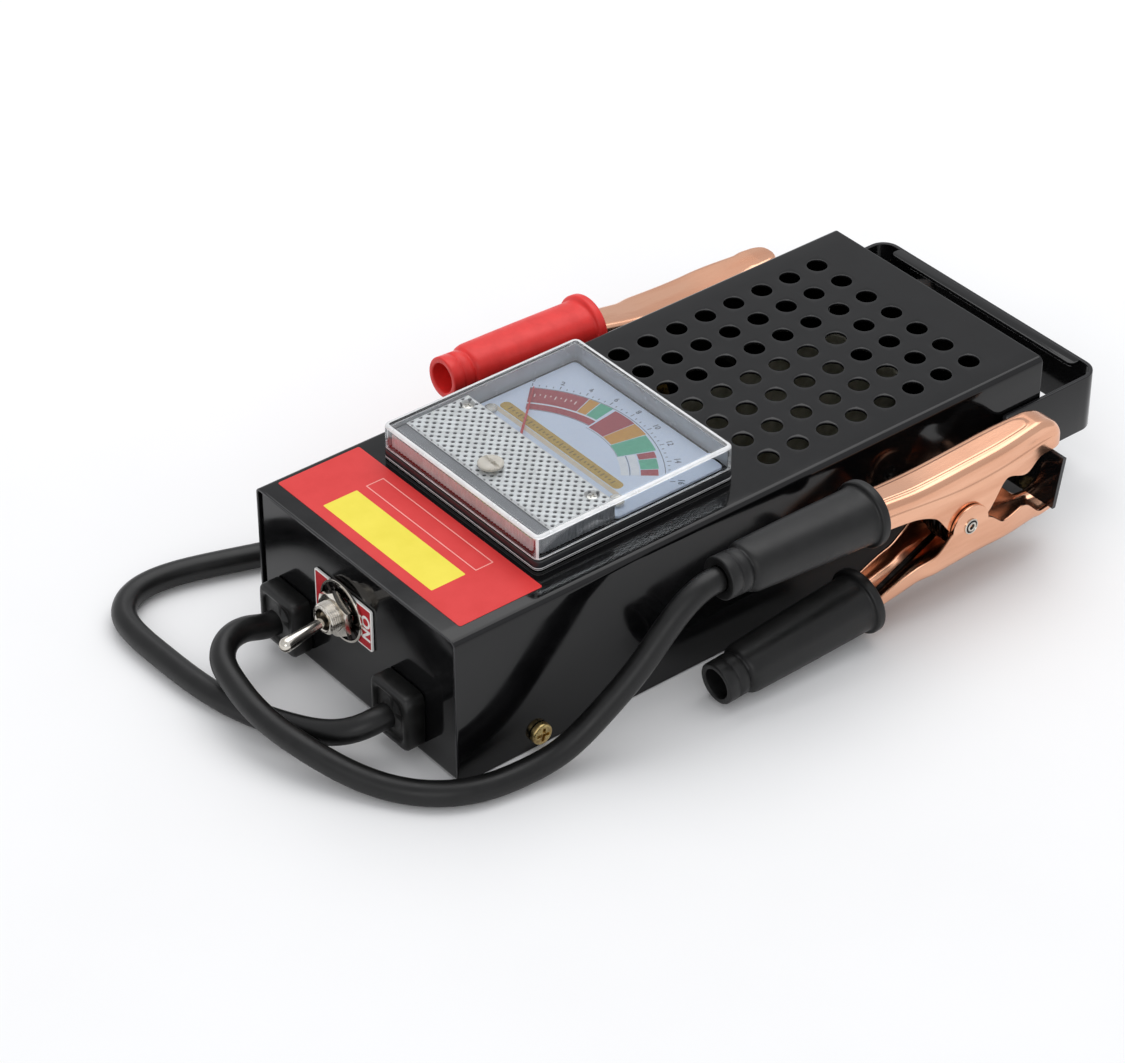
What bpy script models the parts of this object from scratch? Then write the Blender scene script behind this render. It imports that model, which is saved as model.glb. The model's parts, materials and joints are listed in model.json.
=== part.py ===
"""Battery load tester: a folded steel case with a moving-coil meter and a toggle switch, and two
leads that end in sprung copper clamps, stowed on the ears of the strap handle.

+X points to the side of the black clamp, +Y to the strap handle and +Z up. The origin is the
middle of the case's underside. Lengths are in metres and angles in degrees.
"""
import math

import bmesh
import bpy
import numpy as np
from mathutils import Matrix, Vector

# Fits
FIT = 0.0003                # gap between two pieces that touch
HOLE_PLAY = 0.0003          # a hole's radius beyond that of the piece in it
ROUND_SIDES = 16            # sides of a round piece
SMALL_SIDES = 10            # sides of a small screw, rivet or hole

# Case
CASE_WIDTH = 0.104
CASE_LENGTH = 0.246
CASE_HEIGHT = 0.056
SHEET = 0.001
FOLD_RADIUS = 0.0022        # outside radius of a fold
PANEL_RECESS = 0.0009       # the end panels stand back from the cover's ends
FLANGE_HEIGHT = 0.012       # turned-up edge of the pan that takes the cover screws
FLANGE_GAP = 0.006          # from that edge to the end panels

# Vent holes in the cover
VENT_DIAMETER = 0.0072
VENT_PITCH = 0.0126
VENT_REAR_GAP = 0.0206      # from the cover's rear end to the last row
VENT_SIDE_GAP = 0.012       # least from the cover's sides to a hole's middle
VENT_METER_GAP = 0.010      # least from the meter to the first row
VENT_SIDES = 10

# Cover screws
SCREW_HEAD_RADIUS = 0.0038
SCREW_HEAD_HEIGHT = 0.0022
SCREW_SHANK_RADIUS = 0.0019
SCREW_LENGTH = 0.0065
SCREW_INSET = 0.0319        # from the case's ends
SCREW_HEIGHT = 0.0058       # above the underside

# Strap handle: one strip round the rear, its ends turned out as ears
STRAP_THICKNESS = 0.0015
STRAP_HEIGHT = 0.022
STRAP_BOTTOM = 0.0187
HANDLE_REACH = 0.027        # from the cover's rear end to the strip's outer face
STRAP_LAP = 0.019           # from the cover's rear end forward to the ears
EAR_REACH = 0.031           # from the cover's side to an ear's end
EAR_BEND = 0.0025
HANDLE_CORNER = 0.006
LIP_DEPTH = 0.0045          # lip turned in along the top of the handle
LIP_INSET = 0.008           # from the handle's sides to the lip's ends
RIVET_RADIUS = 0.0016
RIVET_HEAD_RADIUS = 0.0031
RIVET_HEAD_HEIGHT = 0.0011
RIVET_SPREAD = 0.011        # between the two rivets of one side

# Clamps
NEAR_STANDOFF = 0.0195      # from the cover's side to the black clamp's middle plane
FAR_STANDOFF = 0.018        # and to the red clamp's
CLAMP_BITE_REACH = 0.039    # from the pivot to the ear
CLAMP_WALL = 0.0012
CLAMP_HALF_WIDTH = 0.0075   # of the half that carries the lead
LEAD_JAW_DEPTH = 0.0122     # from the biting edge to the back of the jaw, lead half
LEAD_EYE = 0.0104           # height of the round gap behind the teeth
LEAD_TOOTH = 0.0075
LEAD_BACK = 0.0214          # height of the back over the pin
FREE_JAW_DEPTH = 0.0030     # the same of the free half, which is slimmer
FREE_EYE = 0.0050
FREE_TOOTH = 0.0038
FREE_BACK = 0.0132
NOSE_LENGTH = 0.0055        # past the ear
NOSE_HALF_WIDTH = 0.0056
NOSE_ROUND = 0.012          # length of the rounded nose
LUG_RADIUS = 0.0078
LEAD_SILL = 0.0086          # height of the lead half's edge behind the lugs
FREE_SILL = 0.0062          # and of the free half's
CHANNEL_ROUND = 0.0028      # outside radius of the channel's long edges
PIN_RADIUS = 0.0025
PIN_HEAD_RADIUS = 0.004
PIN_HEAD_HEIGHT = 0.001
HANDLE_START = 0.038        # from the pivot back to the grip's flange
LEAD_RISE = 0.018           # of the grip's axis at its flange, off the clamp's middle
LEAD_TILT = 2.7
LEAD_TAIL = (-0.0046, 0.0046)   # channel's edge and back in the grip, off its axis
FREE_RISE = 0.0165
FREE_TILT = 4.0
FREE_TAIL = (-0.0030, 0.0020)
TAIL_HALF_WIDTH = 0.007
TAIL_LENGTH = 0.008

# Grips
GRIP_FLANGE_HALF_WIDTH = 0.012
GRIP_FLANGE_HALF_HEIGHT = 0.0112
GRIP_FLANGE_LENGTH = 0.004
GRIP_HALF_WIDTH = 0.0098
GRIP_HALF_HEIGHT = 0.0092
GRIP_BODY_LENGTH = 0.049
GRIP_TAPER = 0.86           # of the body from the flange to the collar
COLLAR_RADIUS = 0.0073
COLLAR_LENGTH = 0.0095
COLLAR_BORE_RADIUS = 0.0051
COLLAR_BORE_DEPTH = 0.0085
GRIP_SIDES = 16

# Clamp springs
COIL_RADIUS = 0.0078        # to the wire's middle
COIL_TURNS = 3              # whole turns beyond the part turn between the legs
CURL_GAP = 0.00055          # between neighbouring curls
CURL_POINTS = 8

# Meter
METER_WIDTH = 0.080
METER_LENGTH = 0.080
METER_FRONT = 0.041         # from the case's front end
METER_CORNER = 0.0025
BEZEL_HEIGHT = 0.0036
WINDOW_INSET = 0.001        # of the window inside the bezel's edge
WINDOW_HEIGHT = 0.0088
WINDOW_WALL = 0.0016
TUB_RADIUS = 0.030
TUB_DEPTH = 0.027
TUB_WALL = 0.0025
TUB_SIDES = 24
APRON_LENGTH = 0.030
APRON_THICKNESS = 0.002
APRON_CLEAR = 0.0008        # from the pointer up to the apron's skirt
DIAL_THICKNESS = 0.0008
DIAL_LENGTH = 0.044
PIVOT_FORWARD = 0.0188      # of the pointer's axis from the meter's middle
POINTER_LENGTH = 0.048
POINTER_TAIL = 0.009
POINTER_WIDTH = 0.0011
POINTER_THICKNESS = 0.0006
POINTER_LIFT = 0.0012       # above the dial
POINTER_ZERO = 43.0         # pointer's rest angle off straight back
HUB_RADIUS = 0.0022
COIL_SIZE = 0.009
MAGNET_RADIUS = 0.008
MAGNET_BORE = 0.0056
ADJUST_FORWARD = 0.0268     # of the zero screw from the meter's middle
ADJUST_HEAD_RADIUS = 0.0042
ADJUST_HEAD_HEIGHT = 0.0014
ADJUST_SHANK_RADIUS = 0.0022
ADJUST_SHANK_LENGTH = 0.0045
ADJUST_SLOT = 0.0009
DIAL_SCREW_INSET = 0.008    # from the meter's sides
DIAL_SCREW_RADIUS = 0.0022
STUD_SPREAD = 0.030
STUD_RADIUS = 0.002
STUD_LENGTH = 0.012
STUD_NUT_RADIUS = 0.0046
STUD_NUT_HEIGHT = 0.0032

# Toggle switch
TOGGLE_X = -0.006           # the switch sits a little to the far side
TOGGLE_HEIGHT = 0.0342
LEGEND_WIDTH = 0.030
LEGEND_HEIGHT = 0.016
LEGEND_THICKNESS = 0.0007
WASHER_RADIUS = 0.0112
WASHER_THICKNESS = 0.0008
NUT_RADIUS = 0.0094
NUT_HEIGHT = 0.003
BUSHING_RADIUS = 0.006
BUSHING_BORE = 0.0036
BUSHING_REACH = 0.0092      # past the panel
LEVER_LENGTH = 0.0235
LEVER_PIVOT_DEPTH = 0.005   # inside the bushing's mouth
LEVER_NECK_RADIUS = 0.0016
LEVER_TIP_RADIUS = 0.0026
LEVER_BALL_RADIUS = 0.0028
LEVER_TILT = 9.0
SWITCH_WIDTH = 0.018
SWITCH_HEIGHT = 0.028
SWITCH_DEPTH = 0.022
SWITCH_TERMINAL = 0.006

# Cord glands on the front panel
GLAND_NEAR_INSET = 0.0265   # from the case's near side to the right gland's middle
GLAND_FAR_INSET = 0.0175    # from its far side to the left gland's
GLAND_HEIGHT = 0.0155
GLAND_HALF_WIDTH = 0.0096
GLAND_HALF_HEIGHT = 0.0104
GLAND_REACH = 0.0075        # past the panel
GLAND_SHANK_RADIUS = 0.007
GLAND_BARB_RADIUS = 0.0082
GLAND_BARB_LENGTH = 0.005
GLAND_SIDES = 16

# Leads
CORD_DIAMETER = 0.0084
CORD_STEP = 1.0             # diameters between the points of a lead
INNER_STEP = 2.4            # diameters between the points of an inner lead
CORD_STRAIGHT = 0.2         # diameters of straight lead at its ends
INNER_DIAMETER = 0.005

# Load element inside the case
RIBBON_THICKNESS = 0.0009
RIBBON_HEIGHT = 0.020
RIBBON_RUNS = 6
RIBBON_PITCH = 0.0124
RIBBON_REAR = 0.018         # from the case's rear end
RIBBON_LENGTH = 0.090
BAR_END_GAP = 0.0038        # from a bar's ends to the cover screws' tips
BAR_DEPTH = 0.009
BAR_HEIGHT = 0.010
POST_RADIUS = 0.003
POST_HEIGHT = 0.027

# Places that several pieces share
HALF_WIDTH = CASE_WIDTH / 2
HALF_LENGTH = CASE_LENGTH / 2
INNER_HALF_WIDTH = HALF_WIDTH - SHEET - FIT
PANEL_Y = -(HALF_LENGTH - PANEL_RECESS)
PANEL_BACK_Y = PANEL_Y + SHEET
FLOOR_TOP = SHEET
STRAP_MIDDLE = STRAP_BOTTOM + STRAP_HEIGHT / 2
STRAP_X = HALF_WIDTH + FIT + STRAP_THICKNESS / 2
HANDLE_Y = HALF_LENGTH + HANDLE_REACH - STRAP_THICKNESS / 2
EAR_Y = HALF_LENGTH - STRAP_LAP
RIVET_Y = (EAR_Y + HALF_LENGTH) / 2
CLAMP_X = (HALF_WIDTH + NEAR_STANDOFF, -HALF_WIDTH - FAR_STANDOFF)
CLAMP_Y = EAR_Y - CLAMP_BITE_REACH
BITE = STRAP_HEIGHT / 2 + FIT
FREE_HALF_WIDTH = CLAMP_HALF_WIDTH + FIT + CLAMP_WALL
METER_Y = -HALF_LENGTH + METER_FRONT + METER_LENGTH / 2
BEZEL_BOTTOM = CASE_HEIGHT + FIT
BEZEL_TOP = BEZEL_BOTTOM + BEZEL_HEIGHT
WINDOW_BOTTOM = BEZEL_TOP + FIT
WINDOW_TOP = WINDOW_BOTTOM + WINDOW_HEIGHT
DIAL_BOTTOM = BEZEL_TOP + FIT
DIAL_TOP = DIAL_BOTTOM + DIAL_THICKNESS
TUB_BOTTOM = CASE_HEIGHT - TUB_DEPTH
PIVOT_Y = METER_Y - PIVOT_FORWARD
POINTER_Z = DIAL_TOP + POINTER_LIFT
ADJUST_Y = METER_Y - ADJUST_FORWARD
GLAND_X = (HALF_WIDTH - GLAND_NEAR_INSET, -HALF_WIDTH + GLAND_FAR_INSET)
GLAND_FACE_Y = PANEL_Y - GLAND_REACH
BAR_TOP = FLOOR_TOP + FIT + BAR_HEIGHT
RIBBON_BOTTOM = BAR_TOP + FIT
RIBBON_BACK_Y = HALF_LENGTH - RIBBON_REAR
RIBBON_FRONT_Y = RIBBON_BACK_Y - RIBBON_LENGTH
GRIP_LENGTH = GRIP_FLANGE_LENGTH + GRIP_BODY_LENGTH + COLLAR_LENGTH


def finish(name, colour, roughness, metallic=0.0, alpha=1.0):
    """A Principled material, made once for each finish."""
    found = bpy.data.materials.get(name)
    if found:
        return found
    made = bpy.data.materials.new(name)
    made.use_nodes = True
    shader = made.node_tree.nodes["Principled BSDF"]
    shader.inputs["Base Color"].default_value = (*colour, 1.0)
    shader.inputs["Roughness"].default_value = roughness
    shader.inputs["Metallic"].default_value = metallic
    shader.inputs["Alpha"].default_value = alpha
    made.diffuse_color = (*colour, alpha)
    return made


def black_enamel():
    return finish("black_enamel", (0.012, 0.012, 0.013), 0.28)


def copper_plate():
    return finish("copper_plate", (0.86, 0.45, 0.30), 0.25, 1.0)


def bright_nickel():
    return finish("bright_nickel", (0.72, 0.70, 0.66), 0.18, 1.0)


def yellow_zinc():
    return finish("yellow_zinc", (0.66, 0.55, 0.30), 0.32, 1.0)


def brass():
    return finish("brass", (0.72, 0.52, 0.20), 0.30, 1.0)


def spring_steel():
    return finish("blackened_spring_steel", (0.05, 0.05, 0.055), 0.35, 1.0)


def black_rubber():
    return finish("black_rubber", (0.018, 0.018, 0.019), 0.5)


def red_rubber():
    return finish("red_rubber", (0.62, 0.03, 0.02), 0.42)


def black_nylon():
    return finish("black_nylon", (0.02, 0.02, 0.02), 0.4)


def new_object(name, bm, material, parent=None, sharp=35.0):
    """Turns a bmesh into a named object with one material, its faces pointing out."""
    bmesh.ops.recalc_face_normals(bm, faces=bm.faces)
    mesh = bpy.data.meshes.new(name)
    bm.to_mesh(mesh)
    bm.free()
    mesh.materials.append(material)
    mesh.shade_smooth()
    mesh.set_sharp_from_angle(angle=math.radians(sharp))
    obj = bpy.data.objects.new(name, mesh)
    bpy.context.scene.collection.objects.link(obj)
    obj.parent = parent
    return obj


def anchor(name, place, turn=(0.0, 0.0, 0.0)):
    """An empty that carries the pieces built about it."""
    empty = bpy.data.objects.new(name, None)
    empty.location = place
    empty.rotation_euler = [math.radians(angle) for angle in turn]
    bpy.context.scene.collection.objects.link(empty)
    return empty


def boolean(obj, tool_bm, operation="DIFFERENCE"):
    """Cuts a hidden tool out of an object, or joins it on; the tool shares its parent."""
    tool = new_object(obj.name + "." + operation.lower(), tool_bm, obj.data.materials[0], obj.parent)
    tool.hide_render = True
    tool.display_type = "WIRE"
    modifier = obj.modifiers.new(operation.lower(), "BOOLEAN")
    modifier.operation = operation
    modifier.solver = "EXACT"
    modifier.object = tool


def loft(bm, rings, cyclic=False):
    """Skins a row of rings of equal count; open rows are capped at both ends."""
    loops = [[bm.verts.new(point) for point in ring] for ring in rings]
    count = len(loops[0])
    pairs = list(zip(loops, loops[1:]))
    if cyclic:
        pairs.append((loops[-1], loops[0]))
    for first, second in pairs:
        for i in range(count):
            j = (i + 1) % count
            bm.faces.new((first[i], first[j], second[j], second[i]))
    if not cyclic:
        bm.faces.new(loops[0])
        bm.faces.new(list(reversed(loops[-1])))
    return bm


def prism(outline, axis, low, high, bm=None):
    """Extrudes an outline along X, Y or Z; its points are the other two axes in order."""
    def point(pair, level):
        values = list(pair)
        values.insert("XYZ".index(axis), level)
        return Vector(values)
    rings = [[point(pair, level) for pair in outline] for level in (low, high)]
    return loft(bm or bmesh.new(), rings)


def box(low, high, bm=None):
    """A box between two corners."""
    outline = [(low[0], low[1]), (high[0], low[1]), (high[0], high[1]), (low[0], high[1])]
    return prism(outline, "Z", low[2], high[2], bm)


def circle(radius, sides, centre=(0.0, 0.0)):
    """Points round a circle in a plane."""
    steps = [2 * math.pi * (i + 0.5) / sides for i in range(sides)]
    return [(centre[0] + radius * math.cos(a), centre[1] + radius * math.sin(a)) for a in steps]


def superellipse(half_width, half_height, sides, power):
    """Points round a squared ellipse: power 2 is an ellipse, higher is squarer."""
    points = []
    for i in range(sides):
        angle = 2 * math.pi * (i + 0.5) / sides
        c, s = math.cos(angle), math.sin(angle)
        points.append((half_width * math.copysign(abs(c) ** (2 / power), c),
                       half_height * math.copysign(abs(s) ** (2 / power), s)))
    return points


def rounded_rectangle(half_width, half_height, front, back=None, steps=3, centre=(0.0, 0.0)):
    """Points round a rectangle with arcs at its corners: one radius, or a front and a back one."""
    back = front if back is None else back
    points = []
    corners = ((1, 1, back), (-1, 1, back), (-1, -1, front), (1, -1, front))
    for quarter, (sx, sy, radius) in enumerate(corners):
        for i in range(steps + 1):
            angle = math.pi / 2 * (quarter + i / steps)
            points.append((centre[0] + sx * (half_width - radius) + radius * math.cos(angle),
                           centre[1] + sy * (half_height - radius) + radius * math.sin(angle)))
    return points


def turned(profile, sides, bm=None, cyclic=False):
    """Turns (radius, height) points about Z; a cyclic profile makes a ring with a bore."""
    rings = [[Vector((x, y, z)) for x, y in circle(r, sides)] for r, z in profile]
    return loft(bm or bmesh.new(), rings, cyclic)


def turned_to(profile, sides, direction, place, cyclic=False, bm=None):
    """A turned shape with its Z axis laid along a direction, starting at a place."""
    piece = turned(profile, sides, None, cyclic)
    turn = Vector((0, 0, 1)).rotation_difference(Vector(direction)).to_matrix().to_4x4()
    bmesh.ops.transform(piece, matrix=Matrix.Translation(Vector(place)) @ turn, verts=piece.verts)
    if bm is None:
        return piece
    mesh = bpy.data.meshes.new("turned")
    piece.to_mesh(mesh)
    piece.free()
    bm.from_mesh(mesh)
    bpy.data.meshes.remove(mesh)
    return bm


def rod(radius, sides, direction, place, length, bm=None):
    """A plain cylinder from a place along a direction."""
    return turned_to([(radius, 0.0), (radius, length)], sides, direction, place, False, bm)


def filleted(corners, radii, steps):
    """A path through corners with arcs of given radii; gives (point, left normal) pairs."""
    path = []
    for k, corner in enumerate(corners):
        here = Vector(corner)
        if k in (0, len(corners) - 1):
            other = Vector(corners[1] if k == 0 else corners[-2])
            along = (other - here if k == 0 else here - other).normalized()
            path.append((here, Vector((-along.y, along.x))))
            continue
        back = (Vector(corners[k - 1]) - here).normalized()
        ahead = (Vector(corners[k + 1]) - here).normalized()
        turn = math.acos(max(-1.0, min(1.0, -back.dot(ahead))))
        side = math.copysign(1.0, ahead.x * back.y - ahead.y * back.x)
        radius = radii[k - 1]
        start = here + back * radius * math.tan(turn / 2)
        left = Vector((back.y, -back.x))
        middle = start + left * radius * side
        for i in range(steps + 1):
            swing = Matrix.Rotation(turn * i / steps * side, 2)
            normal = swing @ left
            path.append((middle - normal * radius * side, normal))
    return path


def strip(corners, radii, thickness, low, high, steps=4, bm=None):
    """A flat strip on edge, bent along a filleted path in plan."""
    path = filleted(corners, radii, steps)
    left = [tuple(point + normal * thickness / 2) for point, normal in path]
    right = [tuple(point - normal * thickness / 2) for point, normal in path]
    return prism(left + right[::-1], "Z", low, high, bm)


def folded_sheet(width, height, sheet, radius, steps=3):
    """Outline of a sheet folded up at both ends of its width: a U with rounded folds."""
    half = width / 2
    outer = [(-half, height)]
    inner = [(-half + sheet, height)]
    for side in (-1, 1):
        for i in range(steps + 1):
            angle = math.pi / 2 * i / steps
            lean, drop = math.sin(angle), math.cos(angle)
            if side < 0:
                lean, drop = drop, lean
            across = half - radius + radius * lean
            down = radius - radius * drop
            outer.append((side * across, down))
            inset = radius - sheet
            inner.append((side * (half - radius + inset * lean), radius - inset * drop))
    outer.append((half, height))
    inner.append((half - sheet, height))
    return outer + inner[::-1]


def smooth_route(points, spacing):
    """Evenly spaced points on one curve of smooth curvature (a cubic spline over chord length) from the
    route's second point to its last but one; the first and last points are its straight ends."""
    route = np.array([tuple(p) for p in points])
    knots = route[1:-1]
    steps = np.linalg.norm(np.diff(knots, axis=0), axis=1)
    count = len(knots)
    system = np.eye(count)
    sides = np.zeros((count, 3))
    sides[0] = (route[1] - route[0]) / np.linalg.norm(route[1] - route[0])
    sides[-1] = (route[-1] - route[-2]) / np.linalg.norm(route[-1] - route[-2])
    for i in range(1, count - 1):
        before, after = steps[i - 1], steps[i]
        system[i, i - 1:i + 2] = after, 2 * (before + after), before
        back, ahead = knots[i] - knots[i - 1], knots[i + 1] - knots[i]
        sides[i] = 3 * (after * back / before + before * ahead / after)
    slopes = np.linalg.solve(system, sides)
    share = np.linspace(0.0, 1.0, 24, endpoint=False)[:, None]
    fine = []
    for i in range(count - 1):
        rise = knots[i + 1] - knots[i]
        bend = share * (1 - share)
        lean = (slopes[i] * steps[i] - rise) * (1 - share) - (slopes[i + 1] * steps[i] - rise) * share
        fine.append(knots[i] + rise * share + bend * lean)
    fine = np.vstack(fine + [knots[-1:]])
    along = np.concatenate([[0.0], np.cumsum(np.linalg.norm(np.diff(fine, axis=0), axis=1))])
    pieces = max(2, round(along[-1] / spacing))
    marks = np.linspace(0.0, along[-1], pieces + 1)
    even = np.stack([np.interp(marks, along, fine[:, k]) for k in range(3)], axis=1)
    even = np.vstack([route[:1], even, route[-1:]])
    return even.tolist(), float(np.linalg.norm(np.diff(even, axis=0), axis=1).sum())


def tube(name, points, diameter, material, resolution, parent=None):
    """A round tube along points: a curve with a bevel and filled caps."""
    curve = bpy.data.curves.new(name, "CURVE")
    curve.dimensions = "3D"
    curve.bevel_depth = diameter / 2
    curve.bevel_resolution = resolution
    curve.use_fill_caps = True
    spline = curve.splines.new("POLY")
    spline.points.add(len(points) - 1)
    for slot, point in zip(spline.points, points):
        slot.co = (*point, 1.0)
    curve.materials.append(material)
    obj = bpy.data.objects.new(name, curve)
    bpy.context.scene.collection.objects.link(obj)
    obj.parent = parent
    return obj


def screw_places():
    """Side and position along the case of each cover screw."""
    y = HALF_LENGTH - SCREW_INSET
    return [("front_near", 1, -y), ("front_far", -1, -y), ("rear_near", 1, y), ("rear_far", -1, y)]


def rivet_places():
    """Side and height of each strap rivet."""
    spread = RIVET_SPREAD / 2
    return [("near_low", 1, -spread), ("near_high", 1, spread), ("far_low", -1, -spread),
            ("far_high", -1, spread)]


def make_cover():
    """The cover: top and two long sides in one folded sheet, with vents and the meter's hole."""
    height = CASE_HEIGHT - FIT
    outline = [(x, CASE_HEIGHT - z) for x, z in folded_sheet(CASE_WIDTH, height, SHEET, FOLD_RADIUS)]
    cover = new_object("top_cover", prism(outline, "Y", -HALF_LENGTH, HALF_LENGTH), black_enamel())
    cuts = bmesh.new()
    top = CASE_HEIGHT - 2 * SHEET
    last_row = HALF_LENGTH - VENT_REAR_GAP
    rows = int((last_row - VENT_METER_GAP - METER_Y - METER_LENGTH / 2) / VENT_PITCH) + 1
    columns = int((CASE_WIDTH - 2 * VENT_SIDE_GAP) / VENT_PITCH) + 1
    for row in range(rows):
        for column in range(columns):
            x = (column - (columns - 1) / 2) * VENT_PITCH
            y = last_row - row * VENT_PITCH
            rod(VENT_DIAMETER / 2, VENT_SIDES, (0, 0, 1), (x, y, top), 4 * SHEET, cuts)
    rod(TUB_RADIUS + HOLE_PLAY, TUB_SIDES, (0, 0, 1), (0, METER_Y, top), 4 * SHEET, cuts)
    side_start = HALF_WIDTH - 2 * SHEET
    for _, side, y in screw_places():
        place = (side * side_start, y, SCREW_HEIGHT)
        rod(SCREW_SHANK_RADIUS + HOLE_PLAY, SMALL_SIDES, (side, 0, 0), place, 4 * SHEET, cuts)
    for _, side, rise in rivet_places():
        place = (side * side_start, RIVET_Y, STRAP_MIDDLE + rise)
        rod(RIVET_RADIUS + HOLE_PLAY, SMALL_SIDES, (side, 0, 0), place, 4 * SHEET, cuts)
    boolean(cover, cuts)


def make_pan():
    """The pan: floor with both end panels folded up, and edges turned up along its sides."""
    top = CASE_HEIGHT - SHEET - FIT
    outline = folded_sheet(-2 * PANEL_Y, top, SHEET, FOLD_RADIUS)
    pan = new_object("base_pan", prism(outline, "X", -INNER_HALF_WIDTH, INNER_HALF_WIDTH), black_enamel())
    edge_end = -PANEL_Y - SHEET - FLANGE_GAP
    edges = bmesh.new()
    for side in (-1, 1):
        xs = sorted((side * INNER_HALF_WIDTH, side * (INNER_HALF_WIDTH - SHEET)))
        box((xs[0], -edge_end, SHEET / 2), (xs[1], edge_end, FLANGE_HEIGHT), edges)
    boolean(pan, edges, "UNION")
    cuts = bmesh.new()
    for _, side, y in screw_places():
        place = (side * (INNER_HALF_WIDTH - 2 * SHEET), y, SCREW_HEIGHT)
        rod(SCREW_SHANK_RADIUS + HOLE_PLAY, SMALL_SIDES, (side, 0, 0), place, 4 * SHEET, cuts)
    front = PANEL_Y - SHEET
    for x in GLAND_X:
        place = (x, front, GLAND_HEIGHT)
        rod(GLAND_SHANK_RADIUS + HOLE_PLAY, GLAND_SIDES, (0, 1, 0), place, 3 * SHEET, cuts)
    place = (TOGGLE_X, front, TOGGLE_HEIGHT)
    rod(BUSHING_RADIUS + HOLE_PLAY, GLAND_SIDES, (0, 1, 0), place, 3 * SHEET, cuts)
    round_off = FOLD_RADIUS
    for side in (-1, 1):
        corner = [(side * (INNER_HALF_WIDTH - 2 * round_off), top + round_off),
                  (side * (INNER_HALF_WIDTH + round_off), top + round_off),
                  (side * (INNER_HALF_WIDTH + round_off), top - 2 * round_off)]
        prism(corner, "Y", -CASE_LENGTH, CASE_LENGTH, cuts)
    boolean(pan, cuts)


def make_cover_screws():
    """Pan-head screws through the cover's sides into the pan's turned-up edges."""
    for name, side, y in screw_places():
        head = [(SCREW_HEAD_RADIUS * k, SCREW_HEAD_HEIGHT * h) for k, h in
                ((0.55, 1.0), (0.82, 0.82), (1.0, 0.35), (1.0, 0.0))]
        profile = [(r, FIT + z) for r, z in head]
        profile += [(SCREW_SHANK_RADIUS, FIT), (SCREW_SHANK_RADIUS, FIT - SCREW_LENGTH)]
        place = (side * HALF_WIDTH, y, SCREW_HEIGHT)
        bm = turned_to(profile, SMALL_SIDES, (side, 0, 0), place)
        new_object("cover_screw_" + name, bm, yellow_zinc())


def make_strap():
    """The strap handle: a strip round the rear, riveted to the sides, its ends turned out."""
    ear = HALF_WIDTH + EAR_REACH
    corners = [(ear, EAR_Y), (STRAP_X, EAR_Y), (STRAP_X, HANDLE_Y), (-STRAP_X, HANDLE_Y),
               (-STRAP_X, EAR_Y), (-ear, EAR_Y)]
    radii = (EAR_BEND, HANDLE_CORNER, HANDLE_CORNER, EAR_BEND)
    top = STRAP_BOTTOM + STRAP_HEIGHT
    strap = new_object("strap_handle", strip(corners, radii, STRAP_THICKNESS, STRAP_BOTTOM, top),
                       black_enamel())
    lip = box((-STRAP_X + LIP_INSET, HANDLE_Y - LIP_DEPTH, top - STRAP_THICKNESS),
              (STRAP_X - LIP_INSET, HANDLE_Y, top))
    boolean(strap, lip, "UNION")
    cuts = bmesh.new()
    for _, side, rise in rivet_places():
        place = (side * (STRAP_X - STRAP_THICKNESS), RIVET_Y, STRAP_MIDDLE + rise)
        rod(RIVET_RADIUS + HOLE_PLAY, SMALL_SIDES, (side, 0, 0), place, 2 * STRAP_THICKNESS, cuts)
    boolean(strap, cuts)
    for name, side, rise in rivet_places():
        outside = STRAP_X + STRAP_THICKNESS / 2 - HALF_WIDTH + FIT
        inside = -SHEET - FIT
        profile = [(RIVET_HEAD_RADIUS * 0.5, outside + RIVET_HEAD_HEIGHT),
                   (RIVET_HEAD_RADIUS * 0.85, outside + RIVET_HEAD_HEIGHT * 0.7),
                   (RIVET_HEAD_RADIUS, outside), (RIVET_RADIUS, outside), (RIVET_RADIUS, inside),
                   (RIVET_HEAD_RADIUS * 0.8, inside), (RIVET_HEAD_RADIUS * 0.8, inside - RIVET_HEAD_HEIGHT)]
        bm = turned_to(profile, SMALL_SIDES, (side, 0, 0), (side * HALF_WIDTH, RIVET_Y, STRAP_MIDDLE + rise))
        new_object("strap_rivet_" + name, bm, black_enamel())


def eased(points, at):
    """Height at one place of a line that eases, level at each point, from point to point."""
    for (s0, h0), (s1, h1) in zip(points, points[1:]):
        if at <= s1:
            share = min(1.0, max(0.0, (at - s0) / (s1 - s0)))
            return h0 + (h1 - h0) * share * share * (3 - 2 * share)
    return points[-1][1]


def flowing(points, at):
    """Height at one place of a smooth line through points, level only at its peaks and dips."""
    rises = [(h1 - h0) / (s1 - s0) for (s0, h0), (s1, h1) in zip(points, points[1:])]
    slopes = [2 * a * b / (a + b) if a * b > 0 else 0.0 for a, b in zip(rises, rises[1:])]
    slopes = [rises[0]] + slopes + [rises[-1]]
    for i, ((s0, h0), (s1, h1)) in enumerate(zip(points, points[1:])):
        if at <= s1:
            share = min(1.0, max(0.0, (at - s0) / (s1 - s0)))
            lean = slopes[i] * (1 - share) - slopes[i + 1] * share
            ease = share * share * (3 - 2 * share)
            return h0 + (h1 - h0) * ease + share * (1 - share) * (s1 - s0) * lean
    return points[-1][1]


def grip_axis(s, rise, tilt):
    """Height of a grip's axis over the clamp's middle, at a distance along the clamp."""
    return rise + (-HANDLE_START - s) * math.tan(math.radians(tilt))


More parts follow.
